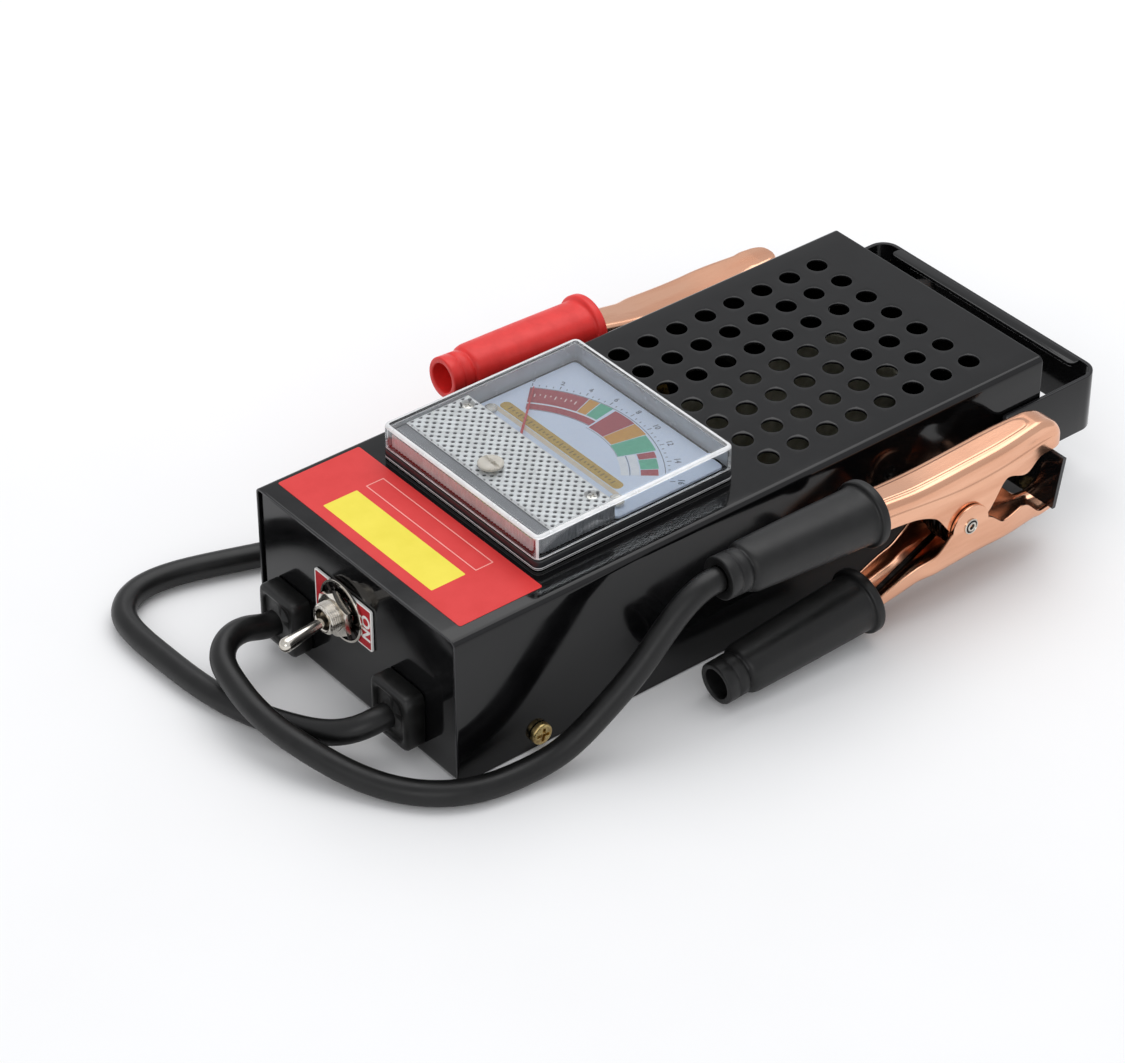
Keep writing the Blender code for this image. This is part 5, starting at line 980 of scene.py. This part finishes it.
def dial_bands(inks):
    """The bands and ticks of the scale, by ink: inner and outer radius, first and last angle of each."""
    first, last, ink = 134.6, 50.2, 0.02 * MM
    red_end, middle_end, right = 98.6, 67.0, 66.4
    bands = {"red": [(40.4, 48.6, first, 110.6), (36.6, 39.6, first, red_end), (35.6, 48.3, 97.6, 86.6),
                     (41.2, 47.0, right, 62.2), (41.0, 46.6, 54.4, last)],
             "amber": [(40.4, 48.6, 110.2, 105.6), (35.6, 48.2, 86.3, 78.2)],
             "green": [(40.4, 48.6, 105.2, 99.2), (35.2, 47.8, 77.8, middle_end), (41.0, 46.8, 61.8, 54.8)],
             "white": [(34.6, 37.2, right, last), (37.9, 40.6, right, last), (39.75, 40.25, first, red_end)],
             "grey": [(48.7, 49.0, first, last), (36.2, 36.5, first, red_end),
                      (34.9, 35.1, red_end, middle_end), (37.4, 37.7, right, last)],
             "pale": [(43.6 + step % 2, 45.4, angle - 0.25, angle + 0.25)
                      for step, angle in enumerate(np.linspace(132, 114, 9))]}
    bands["grey"] += [(49.8, 51.4 if step % 4 == 0 else 50.6, angle - 0.2, angle + 0.2)
                      for step, angle in enumerate(np.linspace(*SCALE_ENDS, 33))]
    for name, plates in bands.items():
        low, thick = (DIAL_TOP + 1.5 * ink, 0.75 * ink) if name == "pale" else (DIAL_TOP + 0.5 * ink, ink)
        skins = [part for row in plates for part in sector(*row, low, low + thick)]
        piece("dial_print_" + name, skins, [inks[name]], "case")


def dial(face, inks):
    """The dial: an enamelled plate with printed bands, ticks, numbers and a gold strip, each ink a plate
    about two hundredths of a millimetre thick."""
    low_corner, high_corner = box("meter_dial")
    half = (high_corner - low_corner) / 2
    centre = middle("meter_dial")[:2]
    base = plate(half[0], half[1], 1.6 * MM, low_corner[2], DIAL_TOP, centre, 0.1 * MM)
    piece("dial_plate", [skin(base, True)], [face], "case", ["meter_dial"])
    dial_bands(inks)
    pivot, number_radius = PIVOTS["pointer_swing"], 53.2 * MM
    for step, angle in enumerate(np.radians(np.linspace(*SCALE_ENDS, 9))):
        spot = Matrix.Translation((pivot[0] + number_radius * math.cos(angle),
                                   pivot[1] + number_radius * math.sin(angle), DIAL_TOP + 0.02 * MM))
        lettering(f"dial_number_{step}", str(2 * step), 2.8 * MM, 0.01 * MM,
                  spot @ Matrix.Rotation(angle - math.pi / 2, 4, "Z"), inks["grey"])
    low, high, bevel = DIAL_TOP + 0.01 * MM, DIAL_TOP + 0.03 * MM, 0.005 * MM
    strip_y = -38.4 * MM
    strip = plate(30.2 * MM, 2 * MM, 1.8 * MM, low, high, (-2.8 * MM, strip_y), bevel, 6)
    piece("dial_strip", [skin(strip, True)], [inks["gold"]], "case")
    rule = plate(32 * MM, 0.9 * MM, 0.5 * MM, low, high, (-2.4 * MM, -41.6 * MM), bevel, 3)
    piece("dial_rule", [skin(rule, True)], [inks["cream"]], "case")
    marks = []
    for k in range(31):
        tall = (0.9 if k % 3 == 0 else 0.5) * MM
        spot = ((1.75 * k - 29) * MM, strip_y)
        marks.append(skin(plate(0.3 * MM, tall, 0.1 * MM, high, high + 0.015 * MM, spot, bevel, 2), True))
    piece("dial_strip_marks", marks, [inks["bronze"]], "case")


def lettering(name, words, size, depth, where, ink):
    """Plain figures as a thin mesh, put on their face by a matrix."""
    text = bpy.data.curves.new(name, "FONT")
    text.body, text.size, text.extrude, text.offset = words, size, depth, 0.03 * size
    text.align_x, text.align_y = "CENTER", "CENTER"
    text.resolution_u = 3
    holder = bpy.data.objects.new(name, text)
    bpy.context.scene.collection.objects.link(holder)
    shape = bpy.data.meshes.new_from_object(holder.evaluated_get(bpy.context.evaluated_depsgraph_get()))
    bpy.data.objects.remove(holder)
    bpy.data.curves.remove(text)
    shape.transform(where)
    shape.materials.clear()
    place(name, shape, [ink], "case")


def pointer(lacquer):
    """The pointer: a needle of flattened oval section that tapers to its tip, on a turned hub."""
    y = np.array([-9, -8.6, -4, 0, 16, 34, 47, 48]) * MM
    half = np.array([0.3, 1.1, 1.0, 0.62, 0.5, 0.36, 0.26, 0.1])[:, None] * MM
    thick = np.array([0.15, 0.3, 0.3, 0.3, 0.26, 0.2, 0.16, 0.08])[:, None] * MM
    angle = round_angles(10)
    across = half * np.cos(angle)
    rows = np.stack([across, np.broadcast_to(y[:, None], across.shape), thick * np.sin(angle)], axis=-1)
    lean = math.radians(43)
    spin = np.array([[math.cos(lean), math.sin(lean), 0], [-math.sin(lean), math.cos(lean), 0], [0, 0, 1]])
    pivot = PIVOTS["pointer_swing"]
    staff, boss = 0.85, 2.2
    hub = np.array([(0.0, -24), (staff, -24), (staff, -boss), (boss, -boss), (boss, 1.2), (1.7, 1.7),
                    (0.0, 1.7)]) * MM
    skins = [skin(closed_ends(rows) @ spin + pivot, True), skin(turned(hub, pivot, (0, 0, 1), 32), True)]
    piece("needle", skins, [lacquer], "pointer", ["meter_pointer"])


def zero_adjuster(cream):
    """The zero adjuster: a cloudy turned head with a slot; heights drop inside the slot's width."""
    reach, core, sides, slot_half, slot_floor = 4.2 * MM, 2.2 * MM, 96, 0.5 * MM, 0.6 * MM
    radius = np.array([0.0, 0.2, 0.4, 0.6, 0.8, 0.92, 1.0, 1.0])[:, None] * reach
    height = np.array([1.4, 1.4, 1.38, 1.32, 1.2, 1.0, 0.7, 0.0])[:, None] * MM
    angle = round_angles(sides)
    x, y = radius * np.cos(angle), radius * np.sin(angle)
    z = np.where((abs(y) < slot_half) & (height > slot_floor), slot_floor, height)
    seat = np.array((*PIVOTS["zero_adjust_turn"][:2], box("meter_window")[1, 2] + FIT))
    shank = turned([(reach, 0.0), (core, 0.0), (core, -4.4 * MM), (0.0, -4.4 * MM)], seat, (0, 0, 1), sides)
    piece("adjuster", [skin(seat + np.stack([x, y, z], axis=-1), True), skin(shank, True)], [cream],
          "zero_adjust", ["zero_adjust_screw"])


# Switch and glands

def switch_rings(radius, y, angle):
    """Grid of rings about the switch's axis, with a radius and a place along Y at each row and angle."""
    x, y, z = np.broadcast_arrays(TOGGLE[0] + radius * np.cos(angle), y, TOGGLE[1] + radius * np.sin(angle))
    return np.stack([x, y, z], axis=-1)


def legend(front, red, white):
    """The legend plate: a pale border, a red field on it and the word of its one marked side."""
    def sheet(width, tall, radius, back, face):
        """A plate stood up against the panel, between two places along Y."""
        bevel = min(0.1 * MM, (back - face) / 3)
        rows = plate(width, tall, radius, -back, -face, TOGGLE, bevel)
        return skin(rows[..., [0, 2, 1]] * (1, -1, 1), True)
    low, high = box("switch_plate")
    half, tall = (high[0] - low[0]) / 2, (high[2] - low[2]) / 2
    line, ink, word_size, word_right = 0.6 * MM, 0.03 * MM, 6 * MM, 11.8 * MM
    piece("legend_border", [sheet(half, tall, 0.8 * MM, PANEL_Y - FIT, front)], [white], "case",
          ["switch_plate"])
    piece("legend_field", [sheet(half - line, tall - line, 0.4 * MM, front, front - ink)], [red], "case")
    where = Matrix.Translation((TOGGLE[0] + word_right, front - 0.05 * MM, TOGGLE[1]))
    where = where @ Matrix.Rotation(math.pi / 2, 4, "X") @ Matrix.Rotation(-math.pi / 2, 4, "Z")
    lettering("legend_on", "ON", word_size, 0.02 * MM, where, white)


def lock_washer(seat, bright, steel):
    """The toothed washer: a flat ring with a bright rim, inside which teeth dip back and rise round it.
    Within the rim it takes the blackened spring steel finish as painted shade.
    """
    angle = round_angles(240)
    tooth = smooth(-0.75, -0.45, np.sin(12 * angle))
    reach = np.array([6.0, 10.8, 10.8, 10.7, 10.0, 9.8, 6.0, 6.0])[:, None] * MM
    depth = np.array([0.0, 0.0, 0.6, 0.8, 0.8, 0.7, 0.7, 0.0])[:, None] * MM
    dip = np.array([0, 0, 0, 0, 0, 0.55, 0.55, 0])[:, None] * MM * tooth
    # The zone within the rim gets the blackened steel finish as painted shade.
    inside = np.array([0, 0, 0, 0, 1, 1, 1])[:, None]
    rows = switch_rings(reach, seat - depth + dip, angle)
    piece("lock_washer", [skin(rows, True, inside)], [bright, steel], "case", ["switch_washer"],
          25.0)


def hexagon_nut(seat, bright):
    """The nut: a ring whose outer radius follows a hexagon, chamfered by a cone at both faces, with a plain
    bore."""
    angle = round_angles(96)
    corner, bore, height = 8.3 * MM, 5.4 * MM, 3 * MM
    flat = corner * math.cos(math.pi / 6)
    hexagon = flat / np.cos((angle + math.pi / 6) % (math.pi / 3) - math.pi / 6)
    drop = 0.55 * (hexagon - flat)
    level = np.zeros(len(angle))
    radius = np.stack([level + bore, level + 0.97 * flat, hexagon, hexagon, level + 0.97 * flat, level + bore,
                       level + bore])
    depth = np.stack([level, level, drop, height - drop, level + height, level + height, level])
    piece("bushing_nut", [skin(switch_rings(radius, seat - depth, angle), True)], [bright], "case",
          ["switch_nut"], 25.0)


def bushing(bright):
    """The threaded bushing: a radius that falls from crest to root along a helix, chamfered end and bore."""
    pitch, crest, thread_depth, length, bore = 0.75 * MM, 5.25 * MM, 0.32 * MM, 9 * MM, 3.6 * MM
    angle = round_angles(72)
    along = np.linspace(0.0, length, 145)[:, None] + 0 * angle
    phase = abs((along / pitch - angle / (2 * np.pi)) % 1.0 - 0.5) * 2
    radius = crest - thread_depth * smooth(0.15, 0.95, phase)
    radius[-8:] -= np.linspace(0, 0.5, 8)[:, None] * MM
    mouth = np.array([(4.6, 9.2), (4.1, 9.2), (3.7, 8.9), (3.6, 8.2), (3.6, 0.0)]) * MM
    mouth = mouth[:, :, None] + 0 * angle
    radius = np.concatenate([bore + 0 * along[:1], radius, mouth[:, 0]])
    depth = np.concatenate([along[:1], along, mouth[:, 1]])
    piece("threaded_bushing", [skin(switch_rings(radius, PANEL_Y - depth, angle), True)], [bright], "case",
          ["switch_bushing"], 40.0)


def lever(bright):
    """The bat lever: a ball in the bushing, a slim neck that swells towards the tip, and a round end."""
    ball = rounding((0, 0), 2.8, -90, 52, 12)
    neck = [(1.62, 2.6), (1.62, 5.5), (1.72, 9.0), (2.0, 14.5), (2.3, 19.0)]
    tip = rounding((0, 21.1), 2.4, 0, 90, 10)
    profile = np.concatenate([ball, neck, tip]) * MM
    lean = math.radians(9)
    bat = turned(profile, PIVOTS["lever_throw"], (math.sin(lean), -math.cos(lean), 0.0), 48)
    piece("bat_lever", [skin(bat, True)], [bright], "lever", ["switch_lever"])


def switch(red, white, bright, steel):
    """The toggle switch, from the panel outwards: legend plate, washer, nut, bushing and lever."""
    plate_front = box("switch_plate")[0, 1]
    legend(plate_front, red, white)
    # The washer's zone within its rim is painted shade in blackened steel.
    lock_washer(plate_front - FIT, bright, steel)
    hexagon_nut(box("switch_nut")[1, 1], bright)
    bushing(bright)
    lever(bright)


def glands(nylon_black):
    """Cord glands: square heads in rows of squared ellipses, rounded a little at the front, with a raised rim
    round a pocket that the cord comes out of. Rows are a share of the half sizes, the distance out of the
    panel in millimetres and the ellipse's power."""
    profile = [(0.0, 5.9, 2.0), (0.47, 5.9, 2.0), (0.50, 6.2, 2.2), (0.56, 6.2, 2.6), (0.68, 6.1, 5.0),
               (0.72, 6.3, 6.0), (0.74, 7.1, 7.0), (0.77, 7.4, 7.0), (0.83, 7.5, 8.0), (0.91, 7.4, 8.0),
               (0.97, 7.0, 8.0), (1.0, 6.4, 8.0), (1.0, 4.0, 8.0), (1.0, 0.6, 8.0), (0.98, 0.3, 8.0),
               (0.6, 0.3, 2.4)]
    scale, depth, power = np.array(profile).T[..., None]
    across, tall = squared_ellipse(9.6 * MM * scale, 10.4 * MM * scale, power, round_angles(192))
    out = np.broadcast_to(PANEL_Y - depth * MM, across.shape)
    shank = np.array([(5.6, 0.3), (7.0, 0.3), (7.0, -1.3), (8.2, -1.3), (7.0, -6.3), (0.0, -6.3)]) * MM
    for name in ("cord_gland_right", "cord_gland_left"):
        x, z = middle(name)[[0, 2]]
        head = np.stack([x + across, out, z + tall], axis=-1)
        back = turned(shank, (x, PANEL_Y, z), (0, -1, 0), 96)
        piece(name.replace("cord_gland", "strain_relief"), [skin(head, True), skin(back, True)],
              [nylon_black], "case", [name], 40.0)


# Leads

def smooth_route(route, count):
    """Evenly spaced points on one cubic spline over chord length through a route, whose first and last steps
    are straight, and its length."""
    knots = route[1:-1]
    chord = np.diff(knots, axis=0)
    steps = np.linalg.norm(chord, axis=1)
    size = len(knots)
    inside = np.arange(1, size - 1)
    system = np.eye(size)
    system[inside, inside - 1] = steps[1:]
    system[inside, inside] = 2 * (steps[:-1] + steps[1:])
    system[inside, inside + 1] = steps[:-1]
    before, after = steps[:-1, None], steps[1:, None]
    sides = np.zeros((size, 3))
    sides[inside] = 3 * (after * chord[:-1] / before + before * chord[1:] / after)
    sides[0] = (route[1] - route[0]) / np.linalg.norm(route[1] - route[0])
    sides[-1] = (route[-1] - route[-2]) / np.linalg.norm(route[-1] - route[-2])
    slopes = np.linalg.solve(system, sides)
    share = np.linspace(0.0, 1.0, 24, endpoint=False)[None, :, None]
    rise, reach = chord[:, None], steps[:, None, None]
    lean = (slopes[:-1, None] * reach - rise) * (1 - share) - (slopes[1:, None] * reach - rise) * share
    fine = (knots[:-1, None] + rise * share + share * (1 - share) * lean).reshape(-1, 3)
    fine = np.concatenate([route[:1], fine, knots[-1:], route[-1:]])
    along = np.concatenate([[0.0], np.cumsum(np.linalg.norm(np.diff(fine, axis=0), axis=1))])
    marks = np.linspace(0.0, along[-1], count)
    return np.stack([np.interp(marks, along, fine[:, k]) for k in range(3)], axis=1), float(along[-1])


def outlet(gland, out):
    """A point in front of a gland's middle, that far out."""
    x, z = middle(gland)[[0, 2]]
    return np.array((x, box(gland)[0, 1] - FIT - out, z))


def collar(clamp, out):
    """A point behind the mouth of a clamp's lead grip, on its axis, that far out."""
    back = COLLAR_END + FIT + out
    point = (0.0, TAIL - back * math.cos(LEAD.tilt), LEAD.rise + back * math.sin(LEAD.tilt))
    return stood(np.array(point), clamp)


def leads(jacket):
    """The two leads: round tubes along their routes, lying on the surface the case stands on. The points
    between gland and collar are in millimetres."""
    floor, diameter = 4.5, 8.4 * MM
    stub = 0.2 * diameter
    red = [(24.4, -137.4, 14.4), (20.3, -142.7, 12.0), (11.8, -147.2, 8.9), (0.5, -150.8, 6.2),
           (-15, -155.6, floor), (-35.5, -159.7, floor), (-56, -160.8, floor), (-71.4, -160.6, floor),
           (-80.5, -158.2, floor), (-87.0, -151.7, floor), (-89.4, -143, floor), (-88.6, -133.5, floor),
           (-85.2, -121.5, floor), (-79.7, -106, floor), (-74.2, -88, floor), (-71.2, -70, floor),
           (-70.1, -53, 6.0)]
    black = [(-35.4, -140, 17.2), (-33.1, -149.2, 18.2), (-26.7, -155.5, 17.4), (-17.8, -157.9, 15.8),
             (-6.5, -159, 14.0), (4.5, -158.3, 12.2), (16.5, -155.7, 10.2), (35, -147.8, 5.8),
             (46.2, -140.8, floor), (55.5, -132, floor), (61.2, -121, floor), (63.8, -107.5, 4.9),
             (66.3, -94, 8.3), (68.5, -80, 17.7), (70.2, -65.4, 30.4), (71.2, -49.5, 46.1),
             (71.5, -43.8, 49.6)]
    for name, gland, clamp, bends in (("red_lead", "cord_gland_right", "red_clamp", red),
                                      ("black_lead", "cord_gland_left", "black_clamp", black)):
        route = np.vstack([outlet(gland, 0.0), outlet(gland, stub), np.array(bends) * MM, collar(clamp, stub),
                           collar(clamp, 0.0)])
        points, length = smooth_route(route, 181)
        rows = closed_ends(tube_rows(points, diameter / 2, (0.0, 0.0, 1.0), 32))
        made = piece(name + "_jacket", [skin(rows, True)], [jacket], "case", [name], 50.0)


# Stage

def put(name, data, right, up, back, spot):
    """Links a lamp or camera that looks against back, with its own right and up, at a spot."""
    made = bpy.data.objects.new(name, data)
    bpy.context.scene.collection.objects.link(made)
    made.matrix_world = Matrix([[right[k], up[k], back[k], spot[k]] for k in range(3)] + [[0, 0, 0, 1]])
    return made


def soft_light(name, spot, aim, size, power):
    """A broad rectangular lamp at a spot, turned to an aim."""
    lamp = bpy.data.lights.new(name, "AREA")
    lamp.shape = "RECTANGLE"
    lamp.size, lamp.size_y = size
    lamp.energy = power
    back = np.array(spot) - np.array(aim)
    back /= np.linalg.norm(back)
    right = np.cross((0, 0, 1), back)
    right /= np.linalg.norm(right)
    put(name, lamp, right, np.cross(back, right), back, spot)


def stage():
    """Pale floor, a broad soft light overhead, a fill from the front and an even pale surround."""
    mesh = bpy.data.meshes.new("floor")
    reach, low = 6.0, -0.1 * MM
    corners = [(-reach, -reach, low), (reach, -reach, low), (reach, reach, low), (-reach, reach, low)]
    mesh.from_pydata(corners, [], [(0, 1, 2, 3)])
    mesh.materials.append(paper_floor())
    floor = bpy.data.objects.new("floor", mesh)
    bpy.context.scene.collection.objects.link(floor)
    soft_light("overhead", (-0.35, 0.45, 1.5), (0, 0, 0), (1.6, 1.6), 13.0)
    soft_light("front_fill", (1.1, -1.3, 0.9), (0, 0, 0.03), (1.0, 0.8), 4.0)
    world = bpy.data.worlds.new("studio")
    bpy.context.scene.world = world
    world.use_nodes = True
    world.node_tree.nodes["Background"].inputs["Color"].default_value = tint("#fbfcff")
    world.node_tree.nodes["Background"].inputs["Strength"].default_value = 0.7
    bpy.context.scene.view_settings.view_transform = "Standard"


def camera():
    """The photograph's viewpoint: azimuth, elevation and roll in degrees, offsets and distance in metres, and
    the focal length and width of the picture in its pixels."""
    turn, lift, roll = np.radians((51.435, 36.471, -0.123))
    across, above, distance = -0.031333, 0.00902, 1.27568
    focal, picture_width, sensor = 3827.585, 1125, 36.0
    right = np.array((math.cos(turn), math.sin(turn), 0.0))
    back = np.array((math.sin(turn) * math.cos(lift), -math.cos(turn) * math.cos(lift), math.sin(lift)))
    up = np.cross(back, right)
    level = right * math.cos(roll) + up * math.sin(roll)
    head = up * math.cos(roll) - right * math.sin(roll)
    lens = bpy.data.cameras.new("photograph")
    lens.sensor_fit = "HORIZONTAL"
    lens.sensor_width = sensor
    lens.lens = focal / picture_width * sensor
    lens.clip_start, lens.clip_end = 0.05, 30.0
    spot = across * level + above * head + distance * back
    bpy.context.scene.camera = put("photograph", lens, level, head, back, spot)


def inner_pieces(bright):
    """Finishes of the solids that keep their own shapes, inside the case and under the window."""
    red_wire = rubber("red_wire", ("#c02020", "#a81a1a"), (0.4, 0.5))
    steatite, turned_brass = stoneware("steatite", ("#e2dccf", "#d2cabb")), brass()
    finishes = {"switch_body": plain_plastic("brown_bakelite", ("#4a3022", "#3a251b")),
                "load_ribbon": ribbon_alloy(),
                "meter_magnet": stoneware("cast_alnico", ("#6a6a6c", "#5a5a5c")),
                "inner_lead_post": rubber("black_wire", ("#181818", "#222222"), (0.4, 0.5)),
                "inner_lead_switch": red_wire, "inner_lead_link": red_wire,
                "ceramic_bar_front": steatite, "ceramic_bar_rear": steatite}
    for side in ("near", "far"):
        finishes["dial_screw_" + side] = bright
        for part in ("terminal_post_", "meter_stud_", "meter_nut_"):
            finishes[part + side] = turned_brass
    for name, made in finishes.items():
        frame["nodes"][name].material_slots[0].material = made


def dial_inks():
    """The inks of the dial by name."""
    colours = {"red": ("#b4474f", "#a83e48"), "amber": ("#dca03c", "#d2943a"),
               "green": ("#62bf9d", "#57b291"), "white": ("#f2f4f8", "#e6e9f0"),
               "grey": ("#7f8797", "#6f7788"), "gold": ("#c9a648", "#b9943e"),
               "pale": ("#efdad6", "#e6cfcb"), "cream": ("#e6d8c2", "#dccbb2"),
               "bronze": ("#8f7434", "#82682e")}
    return {name: printed(name + "_ink", pair) for name, pair in colours.items()}


def main():
    """Stage, camera and leads first, then the case, the clamps, the meter, the switch and the glands."""
    stage()
    camera()
    leads(rubber("black_cord_rubber", ("#0b0b0b", "#141414"), (0.32, 0.46)))
    # The spring steel finish also serves as painted shade inside the lock washer.
    enamel, bright, steel = black_enamel(), nickel(), spring_steel()
    cover(enamel)
    pan(enamel)
    cover_screws(yellow_zinc())
    strap(enamel)
    strap_rivets(enamel)
    label(vinyl_film("red_film", ("#dc3a39", "#d43433")), vinyl_film("yellow_film", ("#f2e14e", "#ead945")),
          vinyl_film("pale_line", ("#f0a39b", "#ec9a92")))
    black = rubber("black_vinyl", ("#0d0d0d", "#171717"), (0.36, 0.5))
    red = rubber("red_vinyl", ("#e6332f", "#d62a27"), (0.32, 0.46))
    # The stoneware given last is painted shade in the pins' bores and grooves.
    clamps(copper(), {"black_clamp": (black, "black_rubber"), "red_clamp": (red, "red_rubber")}, steel,
           bright, stoneware("painted_pin_shade", ("#1a1918", "#0f0f0f")))
    # Cloudy white styrene as a painted highlight on moulded edges, cloudy grey as a painted reflection on the
    # window's far walls.
    moulded_edge_highlight = cloudy_styrene("painted_edge_highlight", ("#ffffff", "#e9ebec"), 0.25)
    bezel(plain_plastic("smoked_phenolic", ("#2a2b2d", "#222325"), (0.15, 0.25)), moulded_edge_highlight)
    window(clear_styrene(), moulded_edge_highlight, cloudy_styrene("painted_far_wall_reflection", ("#cfd1d4", "#c4c6c9"), 0.12))
    apron(silvered_styrene(), plain_plastic("grey_moulding", ("#88898c", "#7c7d80")), bright)
    dial(printed("pale_dial_enamel", ("#e2ebfc", "#dbe6fa")), dial_inks())
    pointer(plain_plastic("red_lacquer", ("#d8323a", "#c72a33"), (0.3, 0.4)))
    zero_adjuster(cloudy_styrene("cream_styrene", ("#e0dbd0", "#d2ccc0"), 0.35))
    switch(printed("legend_red", ("#b5121f", "#a60f1b")), printed("legend_white", ("#f0efec", "#e2e0dc")),
           bright, steel)
    glands(nylon())
    inner_pieces(bright)


main()
